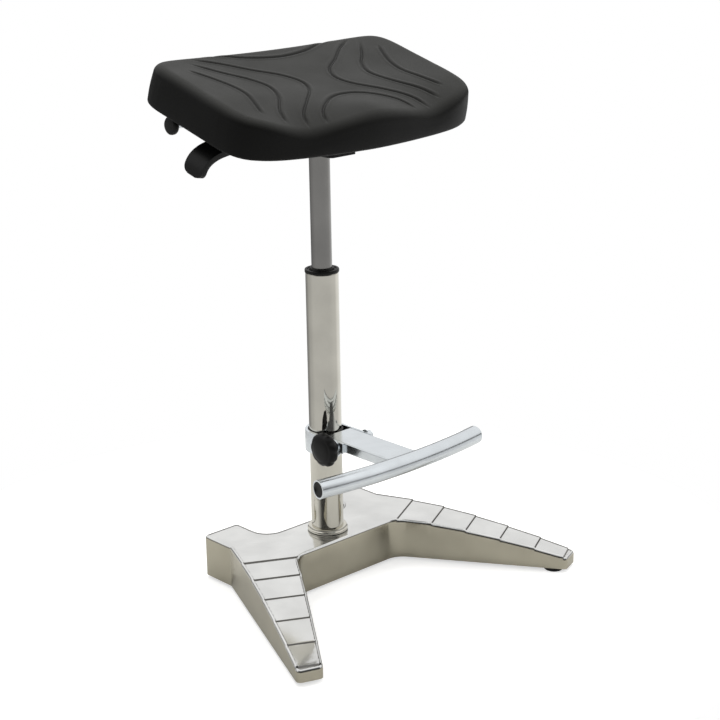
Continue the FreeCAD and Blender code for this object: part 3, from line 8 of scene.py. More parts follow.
import bmesh
import bpy
import numpy as np
from mathutils import Matrix, Vector


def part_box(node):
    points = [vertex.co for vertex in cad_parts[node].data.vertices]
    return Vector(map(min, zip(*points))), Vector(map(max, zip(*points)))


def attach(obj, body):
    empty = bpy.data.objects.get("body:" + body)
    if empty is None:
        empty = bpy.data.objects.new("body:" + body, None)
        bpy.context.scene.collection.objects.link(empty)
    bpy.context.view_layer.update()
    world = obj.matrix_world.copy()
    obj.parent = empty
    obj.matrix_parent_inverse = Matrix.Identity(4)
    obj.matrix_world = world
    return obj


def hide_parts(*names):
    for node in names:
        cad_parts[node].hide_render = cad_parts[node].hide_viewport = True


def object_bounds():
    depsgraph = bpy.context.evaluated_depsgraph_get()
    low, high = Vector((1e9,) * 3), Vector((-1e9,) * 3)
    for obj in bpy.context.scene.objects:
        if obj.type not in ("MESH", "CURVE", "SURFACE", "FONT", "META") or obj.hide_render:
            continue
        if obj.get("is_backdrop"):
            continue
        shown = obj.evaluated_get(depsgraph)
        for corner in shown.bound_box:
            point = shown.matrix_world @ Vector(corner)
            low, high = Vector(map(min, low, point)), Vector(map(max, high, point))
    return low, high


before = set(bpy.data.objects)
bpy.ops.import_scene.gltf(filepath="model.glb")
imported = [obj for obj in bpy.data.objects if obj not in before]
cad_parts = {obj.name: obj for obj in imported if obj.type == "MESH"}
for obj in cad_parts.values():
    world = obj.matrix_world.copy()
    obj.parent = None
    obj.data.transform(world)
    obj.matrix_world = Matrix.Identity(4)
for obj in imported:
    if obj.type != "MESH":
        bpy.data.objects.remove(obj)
scene = bpy.context.scene
cad_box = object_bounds()

# %% [markdown]
# Blender works in metres, but a stool is easier to think about in millimetres.
# The column is the axis that most pieces share, so its place is read from the frame once.

# %% Shared measures
MM = 0.001
low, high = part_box("outer_column")
COLUMN_Y = (low.y + high.y) / 2
print("the column stands at y =", round(COLUMN_Y / MM, 1), "mm")

# %% [markdown]
# The camera stands where the photographer stood: left of the front, a little above the seat.
# Its place was worked out from the known edges of the base, the column and the footrest.

# %% Camera
PICTURE_PIXELS, FOCAL_PIXELS, SENSOR_WIDTH = 720, 1725.836, 36
CAMERA_PLACE = Vector((-1.492035, -1.688980 + COLUMN_Y, 1.016764))
turn, pitch, roll = math.radians(-42.711), math.radians(17.388), math.radians(-0.934)
forward = Vector((
    -math.sin(turn) * math.cos(pitch), math.cos(turn) * math.cos(pitch), -math.sin(pitch)))
level_right = Vector((math.cos(turn), math.sin(turn), 0))
level_up = level_right.cross(forward)
right = level_right * math.cos(roll) + level_up * math.sin(roll)
up = level_up * math.cos(roll) - level_right * math.sin(roll)
lens = bpy.data.cameras.new("camera")
lens.lens = FOCAL_PIXELS / PICTURE_PIXELS * SENSOR_WIDTH
lens.clip_end = 50
camera = bpy.data.objects.new("camera", lens)
scene.collection.objects.link(camera)
camera.matrix_world = (
    Matrix.Translation(CAMERA_PLACE) @ Matrix((right, up, -forward)).transposed().to_4x4())
scene.camera = camera
print("camera lens", round(lens.lens, 1), "mm")

# %% [markdown]
# The studio is a white sweep with soft boxes around it.
# Polished metal shows its surroundings, so the mirrored sky has parts of its own. Below the horizon
# a dark and a bright part give the column its edges. Above it, the side behind the camera is dark,
# which gives the rims and the footrest bar their dark line.

# %% Studio
def soft_box(name, place, size, power, aim=(0, 0.05, 0.35)):
    """A rectangular lamp that metal doesn't show, aimed at the middle of the stool."""
    data = bpy.data.lights.new(name, "AREA")
    data.shape = "RECTANGLE"
    data.size, data.size_y = size
    data.energy = power
    lamp = bpy.data.objects.new(name, data)
    scene.collection.objects.link(lamp)
    lamp.location = place
    lamp.rotation_euler = (Vector(aim) - Vector(place)).to_track_quat("-Z", "Y").to_euler()
    lamp.visible_glossy = False
    return lamp


soft_box("overhead", (0.2, 0.5, 2.6), (2.2, 1.6), 42)
soft_box("right_side", (2.4, -0.6, 1.3), (0.9, 2.2), 26)
soft_box("left_front", (-1.6, -2.2, 1.8), (0.8, 1.2), 9)

world = bpy.data.worlds.new("studio")
scene.world = world
world.use_nodes = True
nodes, links = world.node_tree.nodes, world.node_tree.links
nodes.clear()
out = nodes.new("ShaderNodeOutputWorld")
lit = nodes.new("ShaderNodeBackground")
lit.inputs["Color"].default_value = (1, 0.99, 0.97, 1)
lit.inputs["Strength"].default_value = 0.55
seen = nodes.new("ShaderNodeBackground")
seen.inputs["Color"].default_value = (1, 1, 1, 1)
mirrored = nodes.new("ShaderNodeBackground")
mirrored.inputs["Strength"].default_value = 1.0
path = nodes.new("ShaderNodeLightPath")
where = nodes.new("ShaderNodeTexCoord")
split = nodes.new("ShaderNodeSeparateXYZ")
links.new(where.outputs["Generated"], split.inputs[0])


def world_ramp(value, low, high, stops):
    """A colour ramp over a value of the sky, with grey stops."""
    part = nodes.new("ShaderNodeMapRange")
    part.inputs["From Min"].default_value = low
    part.inputs["From Max"].default_value = high
    links.new(value, part.inputs["Value"])
    ramp = nodes.new("ShaderNodeValToRGB")
    ramp.color_ramp.interpolation = "EASE"
    while len(ramp.color_ramp.elements) < len(stops):
        ramp.color_ramp.elements.new(0.5)
    for stop, (at, grey) in zip(ramp.color_ramp.elements, stops):
        stop.position = at
        stop.color = (grey, grey, grey, 1)
    links.new(part.outputs[0], ramp.inputs[0])
    return ramp.outputs[0]


angle = nodes.new("ShaderNodeMath")
angle.operation = "ARCTAN2"
links.new(split.outputs["X"], angle.inputs[0])
links.new(split.outputs["Y"], angle.inputs[1])
low_part = world_ramp(angle.outputs[0], -math.pi, math.pi, [
    (0.00, 0.60), (0.30, 0.60), (0.40, 0.50), (0.50, 0.30), (0.58, 0.16), (0.615, 0.20),
    (0.64, 0.95), (0.78, 0.90), (0.86, 0.66), (1.00, 0.60),
])
high_part = world_ramp(split.outputs["Z"], 0, 1, [
    (0.00, 0.30), (0.03, 0.06), (0.12, 0.07), (0.19, 0.55), (0.25, 0.88), (1.00, 0.95),
])
def world_mix(share, first, second):
    """Blends two greys of the sky."""
    mix = nodes.new("ShaderNodeMix")
    mix.data_type = "RGBA"
    for socket, value in ((0, share), (6, first), (7, second)):
        links.new(value, mix.inputs[socket])
    return mix.outputs[2]


dark_part = world_ramp(split.outputs["Z"], 0, 1, [
    (0.00, 0.30), (0.03, 0.05), (0.50, 0.06), (0.68, 0.60), (0.80, 0.92), (1.00, 0.95),
])
camera_side = world_ramp(angle.outputs[0], -math.pi, math.pi, [
    (0.00, 1.0), (0.22, 1.0), (0.33, 0.0), (0.90, 0.0), (0.97, 1.0), (1.00, 1.0),
])
upper = nodes.new("ShaderNodeMapRange")
upper.inputs["From Min"].default_value = -0.015
upper.inputs["From Max"].default_value = 0.015
links.new(split.outputs["Z"], upper.inputs["Value"])
above = world_mix(camera_side, high_part, dark_part)
links.new(world_mix(upper.outputs[0], low_part, above), mirrored.inputs["Color"])
glossy = nodes.new("ShaderNodeMixShader")
links.new(path.outputs["Is Glossy Ray"], glossy.inputs[0])
links.new(lit.outputs[0], glossy.inputs[1])
links.new(mirrored.outputs[0], glossy.inputs[2])
final = nodes.new("ShaderNodeMixShader")
links.new(path.outputs["Is Camera Ray"], final.inputs[0])
links.new(glossy.outputs[0], final.inputs[1])
links.new(seen.outputs[0], final.inputs[2])
links.new(final.outputs[0], out.inputs["Surface"])
scene.view_settings.view_transform = "Standard"
print("studio lit by", len(bpy.data.lights), "soft boxes")

# %% Floor
def deselect_all():
    """Leaves edit mode and clears the selection, so that an operator only meets its own piece."""
    if bpy.context.object and bpy.context.object.mode != "OBJECT":
        bpy.ops.object.mode_set(mode="OBJECT")
    bpy.ops.object.select_all(action="DESELECT")


deselect_all()
FLOOR_RADIUS = 0.62
bpy.ops.mesh.primitive_circle_add(
    vertices=96, radius=FLOOR_RADIUS, fill_type="NGON", location=(0, COLUMN_Y, 0))
floor = bpy.context.object
floor.name = "floor"
floor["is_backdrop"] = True
paper = bpy.data.materials.new("white_paper")
paper.use_nodes = True
nodes, links = paper.node_tree.nodes, paper.node_tree.links
matt = nodes["Principled BSDF"]
matt.inputs["Base Color"].default_value = (0.66, 0.66, 0.65, 1)
matt.inputs["Roughness"].default_value = 0.9
matt.inputs["Specular IOR Level"].default_value = 0.1
glow = nodes.new("ShaderNodeEmission")
path = nodes.new("ShaderNodeLightPath")
camera_glow = nodes.new("ShaderNodeMath")
camera_glow.operation = "MULTIPLY"
camera_glow.inputs[1].default_value = 0.6
links.new(path.outputs["Is Camera Ray"], camera_glow.inputs[0])
links.new(camera_glow.outputs[0], glow.inputs["Strength"])
both = nodes.new("ShaderNodeAddShader")
links.new(matt.outputs[0], both.inputs[0])
links.new(glow.outputs[0], both.inputs[1])
links.new(both.outputs[0], nodes["Material Output"].inputs["Surface"])
floor.data.materials.append(paper)
print("floor", tuple(round(v, 1) for v in floor.dimensions))

# %% [markdown]
# Real surfaces are never one flat value.
# Two small groups of nodes give every finish its life: a fine grain for moulded pieces,
# and a smear of wiping marks that changes how sharply a metal reflects.

# %% Shared effects
def new_group(name, inputs, outputs):
    """An empty node group with its sockets, to be filled and shared by finishes."""
    group = bpy.data.node_groups.new(name, "ShaderNodeTree")
    for label, value in inputs:
        socket = group.interface.new_socket(label, in_out="INPUT", socket_type="NodeSocketFloat")
        socket.default_value = value
    for label in outputs:
        group.interface.new_socket(label, in_out="OUTPUT", socket_type="NodeSocketFloat")
    return group, group.nodes.new("NodeGroupInput"), group.nodes.new("NodeGroupOutput")


def noise_in(tree, scale, detail=4.0, stretch=None):
    """A noise texture on Object coordinates, whose scale is a number or a socket."""
    place = tree.nodes.new("ShaderNodeTexCoord")
    noise = tree.nodes.new("ShaderNodeTexNoise")
    noise.inputs["Detail"].default_value = detail
    source = place.outputs["Object"]
    if stretch:
        mapping = tree.nodes.new("ShaderNodeMapping")
        mapping.inputs["Scale"].default_value = stretch
        tree.links.new(source, mapping.inputs["Vector"])
        source = mapping.outputs["Vector"]
    tree.links.new(source, noise.inputs["Vector"])
    if isinstance(scale, (int, float)):
        noise.inputs["Scale"].default_value = scale
    else:
        tree.links.new(scale, noise.inputs["Scale"])
    return noise.outputs["Fac"]


def mapped(tree, value, low, high):
    """Stretches the middle of a noise to a range that is given as numbers or sockets."""
    ranged = tree.nodes.new("ShaderNodeMapRange")
    ranged.inputs["From Min"].default_value = 0.3
    ranged.inputs["From Max"].default_value = 0.7
    for name, end in (("To Min", low), ("To Max", high)):
        if isinstance(end, (int, float)):
            ranged.inputs[name].default_value = end
        else:
            tree.links.new(end, ranged.inputs[name])
    tree.links.new(value, ranged.inputs["Value"])
    return ranged.outputs["Result"]


grain, grain_in, grain_out = new_group(
    "moulded_grain", [("Scale", 900.0), ("Smooth", 0.3), ("Rough", 0.5)], ["Height", "Roughness"])
grain.links.new(noise_in(grain, grain_in.outputs["Scale"], 3), grain_out.inputs["Height"])
grain.links.new(
    mapped(grain, noise_in(grain, 14.0), grain_in.outputs["Smooth"], grain_in.outputs["Rough"]),
    grain_out.inputs["Roughness"])

wiped, wiped_in, wiped_out = new_group(
    "wiped_metal", [("Scale", 9.0), ("Smooth", 0.05), ("Rough", 0.2)], ["Height", "Roughness"])
wiped.links.new(
    mapped(wiped, noise_in(wiped, wiped_in.outputs["Scale"], 5), wiped_in.outputs["Smooth"],
           wiped_in.outputs["Rough"]), wiped_out.inputs["Roughness"])
wiped.links.new(noise_in(wiped, 26.0, 2), wiped_out.inputs["Height"])
print("effects:", grain.name, wiped.name)

# %% [markdown]
# A finish is one Principled shader with an effect group feeding its roughness and a bump.
# The colour also drifts a little, because neither castings nor mouldings are perfectly even.

# %% Finishes
def finish(name, colour, metal, effect, scale, smooth, rough, bump, distance, drift=0.08, specular=0.5):
    """A material whose roughness and bump come from an effect group, and whose colour drifts a little."""
    made = bpy.data.materials.new(name)
    made.use_nodes = True
    tree = made.node_tree
    shader = tree.nodes["Principled BSDF"]
    shader.inputs["Metallic"].default_value = metal
    shader.inputs["Specular IOR Level"].default_value = specular
    group = tree.nodes.new("ShaderNodeGroup")
    group.node_tree = effect
    group.inputs["Scale"].default_value = scale
    group.inputs["Smooth"].default_value = smooth
    group.inputs["Rough"].default_value = rough
    tree.links.new(group.outputs["Roughness"], shader.inputs["Roughness"])
    relief = tree.nodes.new("ShaderNodeBump")
    relief.inputs["Strength"].default_value = bump
    relief.inputs["Distance"].default_value = distance
    tree.links.new(group.outputs["Height"], relief.inputs["Height"])
    tree.links.new(relief.outputs["Normal"], shader.inputs["Normal"])
    ramp = tree.nodes.new("ShaderNodeValToRGB")
    ramp.color_ramp.elements[0].position = 0.3
    ramp.color_ramp.elements[1].position = 0.7
    ramp.color_ramp.elements[0].color = tuple(c * (1 - drift) for c in colour) + (1,)
    ramp.color_ramp.elements[1].color = tuple(min(c * (1 + drift), 1) for c in colour) + (1,)
    tree.links.new(noise_in(tree, 18.0, 3), ramp.inputs["Fac"])
    tree.links.new(ramp.outputs["Color"], shader.inputs["Base Color"])
    return made


finishes = {
    "polished_casting": finish(
        "polished_casting", (0.80, 0.80, 0.785), 1, wiped, 11, 0.10, 0.22, 0.08, 0.0012),
    # A darker copy of the polished casting: painted shade for the upright walls of the base.
    "casting_side_shade": finish("casting_side_shade", (0.49, 0.46, 0.37), 1, wiped, 11, 0.10, 0.22, 0.12, 0.002),
    "casting_inside": finish("casting_inside", (0.45, 0.44, 0.42), 1, wiped, 30, 0.5, 0.7, 0.4, 0.001),
    # A near-black copy of the casting: painted shade for the groove of the rim and the steps between treads.
    "casting_crease_shade": finish("casting_crease_shade", (0.13, 0.125, 0.115), 1, wiped, 30, 0.25, 0.4, 0.2, 0.001),
    "mirror_steel": finish("mirror_steel", (0.67, 0.65, 0.58), 1, wiped, 7, 0.04, 0.09, 0.02, 0.0006),
    "satin_steel": finish("satin_steel", (0.28, 0.275, 0.265), 1, wiped, 9, 0.17, 0.24, 0.01, 0.0004),
    "zinc_plate": finish("zinc_plate", (0.78, 0.82, 0.85), 1, wiped, 8, 0.20, 0.27, 0.012, 0.0004),
    "ground_steel": finish("ground_steel", (0.55, 0.55, 0.56), 1, wiped, 24, 0.18, 0.3, 0.03, 0.0003),
    "brass": finish("brass", (0.70, 0.52, 0.26), 1, wiped, 24, 0.18, 0.32, 0.03, 0.0003),
    "seat_skin": finish(
        "seat_skin", (0.0030, 0.0031, 0.0027), 0, grain, 700, 0.42, 0.54, 0.35, 0.0004, specular=0.16),
    "black_plastic": finish(
        "black_plastic", (0.0045, 0.0045, 0.0042), 0, grain, 900, 0.34, 0.46, 0.20, 0.0003, specular=0.25),
    "black_paint": finish(
        "black_paint", (0.005, 0.005, 0.005), 0, grain, 500, 0.38, 0.5, 0.25, 0.0003, specular=0.25),
    "rubber": finish(
        "rubber", (0.02, 0.02, 0.02), 0, grain, 600, 0.6, 0.75, 0.3, 0.0004, specular=0.3),
}
print("finishes:", ", ".join(finishes))

# %% Painted light on the top of the seat skin
# Painted light: the skin's colour is mixed towards a paler grey where the attribute is high, which is where
# the seat faces up, as if lit from above.
PAINTED_TOP_LIGHT_COLOUR = (0.021, 0.021, 0.0195, 1)
skin = finishes["seat_skin"].node_tree
skin_shader = skin.nodes["Principled BSDF"]
top_light_attribute = skin.nodes.new("ShaderNodeAttribute")
top_light_attribute.attribute_name = "painted_top_light"
paler = skin.nodes.new("ShaderNodeMix")
paler.data_type = "RGBA"
skin.links.new(top_light_attribute.outputs["Fac"], paler.inputs[0])
skin.links.new(skin_shader.inputs["Base Color"].links[0].from_socket, paler.inputs[6])
paler.inputs[7].default_value = PAINTED_TOP_LIGHT_COLOUR
skin.links.new(paler.outputs[2], skin_shader.inputs["Base Color"])
print("seat skin is paler where its wear attribute is high")

# %% Finishes of the frame's own nodes
NODE_FINISH = {
    "polished_casting": ["base_casting"],
    "mirror_steel": ["outer_column", "column_collar"],
    "satin_steel": ["gas_cylinder"],
    "zinc_plate": [
        "lever_shaft", "seat_screws", "tilt_axle", "axle_nut", "footrest_strap", "footrest_arm",
        "footrest_bar", "clamp_bolt", "clamp_washers", "clamp_nut",
    ],
    "ground_steel": [
        "release_pin", "piston_rod", "retaining_clip", "thrust_washer_lower", "thrust_washer_upper",
        "bearing_balls", "lever_pivot_pin", "friction_discs",
    ],
    "brass": ["cylinder_gland", "valve_body", "piston"],
    "black_plastic": [
        "glide_front_left", "glide_front_right", "glide_rear_left", "glide_rear_right", "guide_bush",
        "lever_paddle", "seat_insert", "tilt_knob", "column_liner", "bar_plug_left", "bar_plug_right",
        "clamp_grip",
    ],
    "black_paint": ["column_floor", "tilt_bracket", "seat_plate"],
    "rubber": ["rubber_buffer", "stop_pad"],
    "seat_skin": ["seat_pad"],
}
for name, members in NODE_FINISH.items():
    for member in members:
        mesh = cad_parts[member].data
        mesh.materials.clear()
        mesh.materials.append(finishes[name])
missing = set(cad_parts) - {m for members in NODE_FINISH.values() for m in members}
print("nodes without a finish:", missing or "none")

# %% [markdown]
# The seat is one piece of moulded foam with a tough skin, fixed to a tilted plate.
# Its outline is nearly a rectangle with big corners, and its top is a shallow dish with two thigh
# troughs at the front. One pressed groove crosses at the rear and one at the front, and a fan of
# three runs down each side.
# Foam like this has no seams or loose cloth, so it is shaped by moving the points of a fine grid,
# as a sculptor would, and not by simulation.

# %% Seat: outline
SEAT_TILT = math.radians(15.8)
SEAT_MIDDLE = Vector((0, COLUMN_Y, 652.8 * MM))
HALF_OUTLINE = [
    (0, -115), (45, -113.5), (86, -110.5), (120, -107), (150, -102), (173, -94.5), (191, -83), (201, -64),
    (204, -38), (204, 0), (204, 40), (204, 74), (201.5, 93), (194, 107.5), (179, 116.5), (150, 120),
    (95, 121), (45, 121), (0, 121),
]


def spline(p0, p1, p2, p3, t):
    """The point at share t between p1 and p2 on a Catmull-Rom curve."""
    return 0.5 * (
        2 * p1 + (p2 - p0) * t + (2 * p0 - 5 * p1 + 4 * p2 - p3) * t ** 2
        + (3 * p1 - p0 - 3 * p2 + p3) * t ** 3)


def smooth_loop(points, steps=14):
    """A closed curve through the points."""
    count = len(points)
    made = []
    for number in range(count):
        four = [np.array(points[(number + k) % count], float) for k in (-1, 0, 1, 2)]
        made += [spline(*four, t) for t in np.arange(steps) / steps]
    return np.array(made)


loop = smooth_loop(HALF_OUTLINE + [(-x, y) for x, y in reversed(HALF_OUTLINE[1:-1])])
print("seat outline", len(loop), "points,", np.ptp(loop[:, 0]).round(), "x", np.ptp(loop[:, 1]).round(), "mm")

# %% Seat: pressed grooves
REAR_GROOVE = [(-122, 122), (-91, 112), (-50, 96), (0, 89), (50, 96), (91, 112), (122, 122)]
FRONT_GROOVE = [(-78, -101), (-64, -74), (-30, -48), (0, -41), (30, -48), (64, -74), (78, -101)]
SIDE_FAN = [
    [(140, 108), (106, 88), (73, 60), (42, 36), (29, 10), (38, -16), (66, -44), (94, -72), (106, -101)],
    [(150, 96), (122, 60), (98, 34), (87, 6), (98, -26), (122, -58), (134, -88)],
    [(166, 76), (150, 46), (139, 18), (137, -8), (146, -36), (158, -68)],
]
GROOVES = [REAR_GROOVE, FRONT_GROOVE] + SIDE_FAN + [[(-x, y) for x, y in line] for line in SIDE_FAN]


def smooth_line(points, steps=10):
    """An open curve through the points."""
    ends = [2 * np.array(points[0], float) - points[1], 2 * np.array(points[-1], float) - points[-2]]
    padded = [ends[0]] + [np.array(p, float) for p in points] + [ends[1]]
    made = []
    for four in zip(padded, padded[1:], padded[2:], padded[3:]):
        made += [spline(*four, t) for t in np.arange(steps) / steps]
    return np.array(made + [padded[-2]])


def distance_to(points, line):
    """Distance of each point to a line of short straight runs, and the nearest share along it."""
    best = np.full(len(points), 1e9)
    share = np.zeros(len(points))
    for number, (a, b) in enumerate(zip(line[:-1], line[1:])):
        run = b - a
        t = np.clip(((points - a) @ run) / (run @ run), 0, 1)
        gap = np.linalg.norm(points - a - t[:, None] * run, axis=1)
        nearer = gap < best
        best[nearer] = gap[nearer]
        share[nearer] = (number + t[nearer]) / (len(line) - 1)
    return best, share


print("grooves:", len(GROOVES))

# %% [markdown]
# The height of the top is a sum of simple shapes: the dish, the troughs and the raised middle.
# Near the outline the top rolls over in a quarter round before it meets the side.

# %% Seat: shape of the top
TOP_ROUND = 13.0
THICK = 50.0
HALF_WIDE, HALF_DEEP = 203, 119
GROOVE_DEPTH, GROOVE_WIDE, GROOVE_REACH, GROOVE_FREE = 2.4, 1.7, 12, 14
RIDGE_HEIGHT, RIDGE_PLACE, RIDGE_WIDE = 0.5, 4.6, 2.4


def bell(value, middle, width):
    """1 at the middle, falling off smoothly on both sides."""
    return np.exp(-((value - middle) / width) ** 2)


def top_height(x, y):
    """The height of the seat's top above its board, in millimetres."""
    side = np.clip(np.abs(x) / HALF_WIDE, 0, 1)
    dish = -9.0 * (1 - side ** 2) * (1 - 0.35 * np.clip(y / HALF_DEEP, 0, 1) ** 2)
    ahead = np.clip((-y - 15) / 100, 0, 1.1) ** 2
    trough = -15.0 * bell(np.abs(x), 112, 46) * ahead
    pommel = 7.0 * bell(x, 0, 42) * bell(y, -88, 34)
    roll = -4.0 * ahead
    return THICK + dish + trough + pommel + roll


def grooves_at(points):
    """How deep the nearest groove is at each point, with the low ridges beside it as negative depth."""
    depth = np.zeros(len(points))
    for line in GROOVES:
        curve = smooth_line(line)
        least, most = curve.min(axis=0) - GROOVE_REACH, curve.max(axis=0) + GROOVE_REACH
        near = ((points > least) & (points < most)).all(axis=1)
        gap, share = distance_to(points[near], curve)
        fade = np.clip(np.minimum(share, 1 - share) / 0.10, 0, 1)
        fade = fade * fade * (3 - 2 * fade)
        cut = GROOVE_DEPTH * bell(gap, 0, GROOVE_WIDE) - RIDGE_HEIGHT * bell(gap, RIDGE_PLACE, RIDGE_WIDE)
        depth[near] = np.where(np.abs(cut * fade) > np.abs(depth[near]), cut * fade, depth[near])
    return depth


# %% Seat: grid
deselect_all()
bpy.ops.mesh.primitive_grid_add(x_subdivisions=440, y_subdivisions=260, size=2)
pad = bpy.context.object
pad.name = "foam_seat"
END_GAP = 0.4
count = len(pad.data.vertices)
flat = np.empty(count * 3)
pad.data.vertices.foreach_get("co", flat)
uv = flat.reshape(-1, 3)[:, :2].astype(float)
rear, front = loop[loop[:, 1] > 40], loop[loop[:, 1] < 20]
rear, front = rear[np.argsort(rear[:, 0])], front[np.argsort(front[:, 0])]
x = uv[:, 0] * (loop[:, 0].max() - END_GAP)
rear_y = np.interp(x, rear[:, 0], rear[:, 1])
front_y = np.interp(x, front[:, 0], front[:, 1])
y = front_y + (uv[:, 1] + 1) / 2 * (rear_y - front_y)
spots = np.stack([x, y], axis=1)
gap, _ = distance_to(spots, np.vstack([loop, loop[:1]]))
print("seat grid", count, "points")

# %% Seat: roll the edge over
ROLL_REACH = TOP_ROUND * 1.15
ROLL_POWER = 2.2
past = np.clip(1 - gap / ROLL_REACH, 0, 1)
drop = TOP_ROUND * (1 - np.sqrt(1 - past ** ROLL_POWER))
height = top_height(x, y) - drop - grooves_at(spots) * np.clip(gap / GROOVE_FREE, 0, 1)
shape = np.stack([x, y, height], axis=1)
pad.data.vertices.foreach_set("co", (shape * MM).ravel())
pad.data.update()
print("edge rolled over", int((past > 0).sum()), "points")

# %% [markdown]
# The side wall is drawn down from the rim in rings.
# It flares a little on its way down, then turns in to the flat underside, where the board sits.

# %% Seat: side and underside
body = bmesh.new()
body.from_mesh(pad.data)
rim = [edge for edge in body.edges if edge.is_boundary]
rim_verts = {vert for edge in rim for vert in edge.verts}
BOTTOM_ROUND, SKIRT, FLARE, BULGE = 4.0, 4.0, 3.0, 0.8
rings = [("wall", share) for share in (0.2, 0.4, 0.6, 0.8, 1.0)]
rings += [("turn", step / 5 * math.pi / 2) for step in range(1, 6)]
rings += [("under", inset) for inset in (22.0, 40.0)]
start = {vert: (vert.co.copy(), vert.co.z / MM) for vert in rim_verts}
origin_of = {vert: vert for vert in rim_verts}
edges = rim
for kind, amount in rings:
    grown = bmesh.ops.extrude_edge_only(body, edges=edges)["geom"]
    fresh = [item for item in grown if isinstance(item, bmesh.types.BMVert)]
    edges = [item for item in grown if isinstance(item, bmesh.types.BMEdge) and item.is_boundary]
    parents = {}
    for vert in fresh:
        for edge in vert.link_edges:
            other = edge.other_vert(vert)
            if other in origin_of and other not in fresh:
                parents[vert] = origin_of[other]
    for vert, root in parents.items():
        origin_of[vert] = root
        place, top = start[root]
        flat_place = Vector((place.x, place.y, 0)) / MM
        towards = -flat_place.normalized()
        if kind == "wall":
            swell = -FLARE * amount - BULGE * math.sin(math.pi * amount)
            deep = top + (BOTTOM_ROUND - SKIRT - top) * amount
            spot = flat_place + towards * swell
        elif kind == "turn":
            spot = flat_place + towards * (BOTTOM_ROUND * (1 - math.cos(amount)) - FLARE)
            deep = BOTTOM_ROUND * (1 - math.sin(amount)) - SKIRT
        else:
            spot = flat_place + towards * amount
            deep = 0
        vert.co = Vector((spot.x, spot.y, deep)) * MM
bmesh.ops.holes_fill(body, edges=[e for e in body.edges if e.is_boundary], sides=0)
bmesh.ops.recalc_face_normals(body, faces=body.faces)
body.to_mesh(pad.data)
body.free()
pad.data.update()
# Painted light: the attribute rises with how far each point faces up, so the top of the seat is painted paler
# than its sides.
painted_top_light = pad.data.attributes.new("painted_top_light", "FLOAT", "POINT")
for vert in pad.data.vertices:
    painted_top_light.data[vert.index].value = min(1, max(0, (vert.normal.z - 0.25) / 0.65)) ** 1.5
tilt = Matrix.Translation(SEAT_MIDDLE) @ Matrix.Rotation(SEAT_TILT, 4, "X")
pad.data.transform(tilt)
pad.data.materials.append(finishes["seat_skin"])
for face in pad.data.polygons:
    face.use_smooth = True
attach(pad, "seat")
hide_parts("seat_pad")
seat_top = max(vert.co.z for vert in pad.data.vertices) / MM
print("seat", len(pad.data.polygons), "faces, top at", round(seat_top, 1), "mm")

# %% [markdown]
# The base is one die casting, polished all over.
# It starts as a flat disc whose points are laid along the plan, because an even ring of points
# insets cleanly: each inset gives one ring of the rounded rim.
# The legs are then cut across where the treads meet, and the points are dropped to their height.
# HALF_PLAN lists the corners of the left half as x, y and radius, about the column. TREADS pairs
# the distance from a leg's tip with the height of the top there.

# %% Base: plan
HALF_PLAN = [
    (93, -42, 30), (229, -245.5, 6.5), (262, -233.5, 6.5), (140, 46, 3), (140, 104, 6), (80, 104, 6),
    (80, 40, 26),
]
LEG_TIP = Vector((245.5, -239.5))
LEG_IN = Vector((-math.sin(math.radians(28.1)), math.cos(math.radians(28.1))))
TREADS = [
    (-60, 21.6), (6.6, 22.2), (7.8, 24.4), (47.4, 33.1), (49, 34.7), (96.4, 43.3), (98, 44.9), (145.4, 52.0),
    (147, 53.6), (194.4, 58.7), (196, 60.3), (243.4, 62.4), (245, 64), (600, 64),
]


def along_leg(x, y):
    """How far a point lies from the tip, measured along its leg."""
    return (np.abs(x) - LEG_TIP.x) * LEG_IN.x + (y - LEG_TIP.y) * LEG_IN.y


def rounded(points, spacing):
    """Turns corners with a radius into arcs, and splits the straight runs evenly."""
    corners = []
    count = len(points)
    for number, (x, y, radius) in enumerate(points):
        here = Vector((x, y))
        back = (Vector(points[number - 1][:2]) - here).normalized()
        ahead = (Vector(points[(number + 1) % count][:2]) - here).normalized()
        half = back.angle(ahead) / 2
        middle = here + (back + ahead).normalized() * (radius / math.sin(half))
        ends = [here + way * (radius / math.tan(half)) - middle for way in (back, ahead)]
        first = math.atan2(ends[0].y, ends[0].x)
        sweep = (math.atan2(ends[1].y, ends[1].x) - first + math.pi) % (2 * math.pi) - math.pi
        steps = max(4, int(abs(sweep) * radius / 2.5))
        for step in range(steps + 1):
            at = first + sweep * step / steps
            corners.append(middle + Vector((math.cos(at), math.sin(at))) * radius)
    made = []
    for here, there in zip(corners, corners[1:] + corners[:1]):
        pieces = max(1, round((there - here).length / spacing))
        made += [here.lerp(there, k / pieces) for k in range(pieces)]
    return made


plan = rounded(HALF_PLAN + [(-x, y, r) for x, y, r in reversed(HALF_PLAN)], 9.0)
print("base plan", len(plan), "points")

# %% Base: plate, rim and hollow
BASE_GAP, BASE_TOP, BASE_WALL, BASE_CEILING = 5.0, 64.0, 5.0, 56.0
RIM = [(0.0, -4.6), (0.4, -2.9), (1.1, -1.4), (2.0, -0.4), (3.0, 0.0), (3.6, -0.1), (4.0, -0.7), (4.6, -0.8)]


def select_faces(piece, test):
    """In edit mode, selects the faces whose centre and normal pass a test, in millimetres."""
    mesh = bmesh.from_edit_mesh(piece.data)
    for face in mesh.faces:
        face.select_set(False)
    for face in mesh.faces:
        middle = face.calc_center_median() / MM
        face.select_set(bool(test(Vector((middle.x, middle.y - COLUMN_Y / MM, middle.z)), face.normal)))
    bmesh.update_edit_mesh(piece.data)


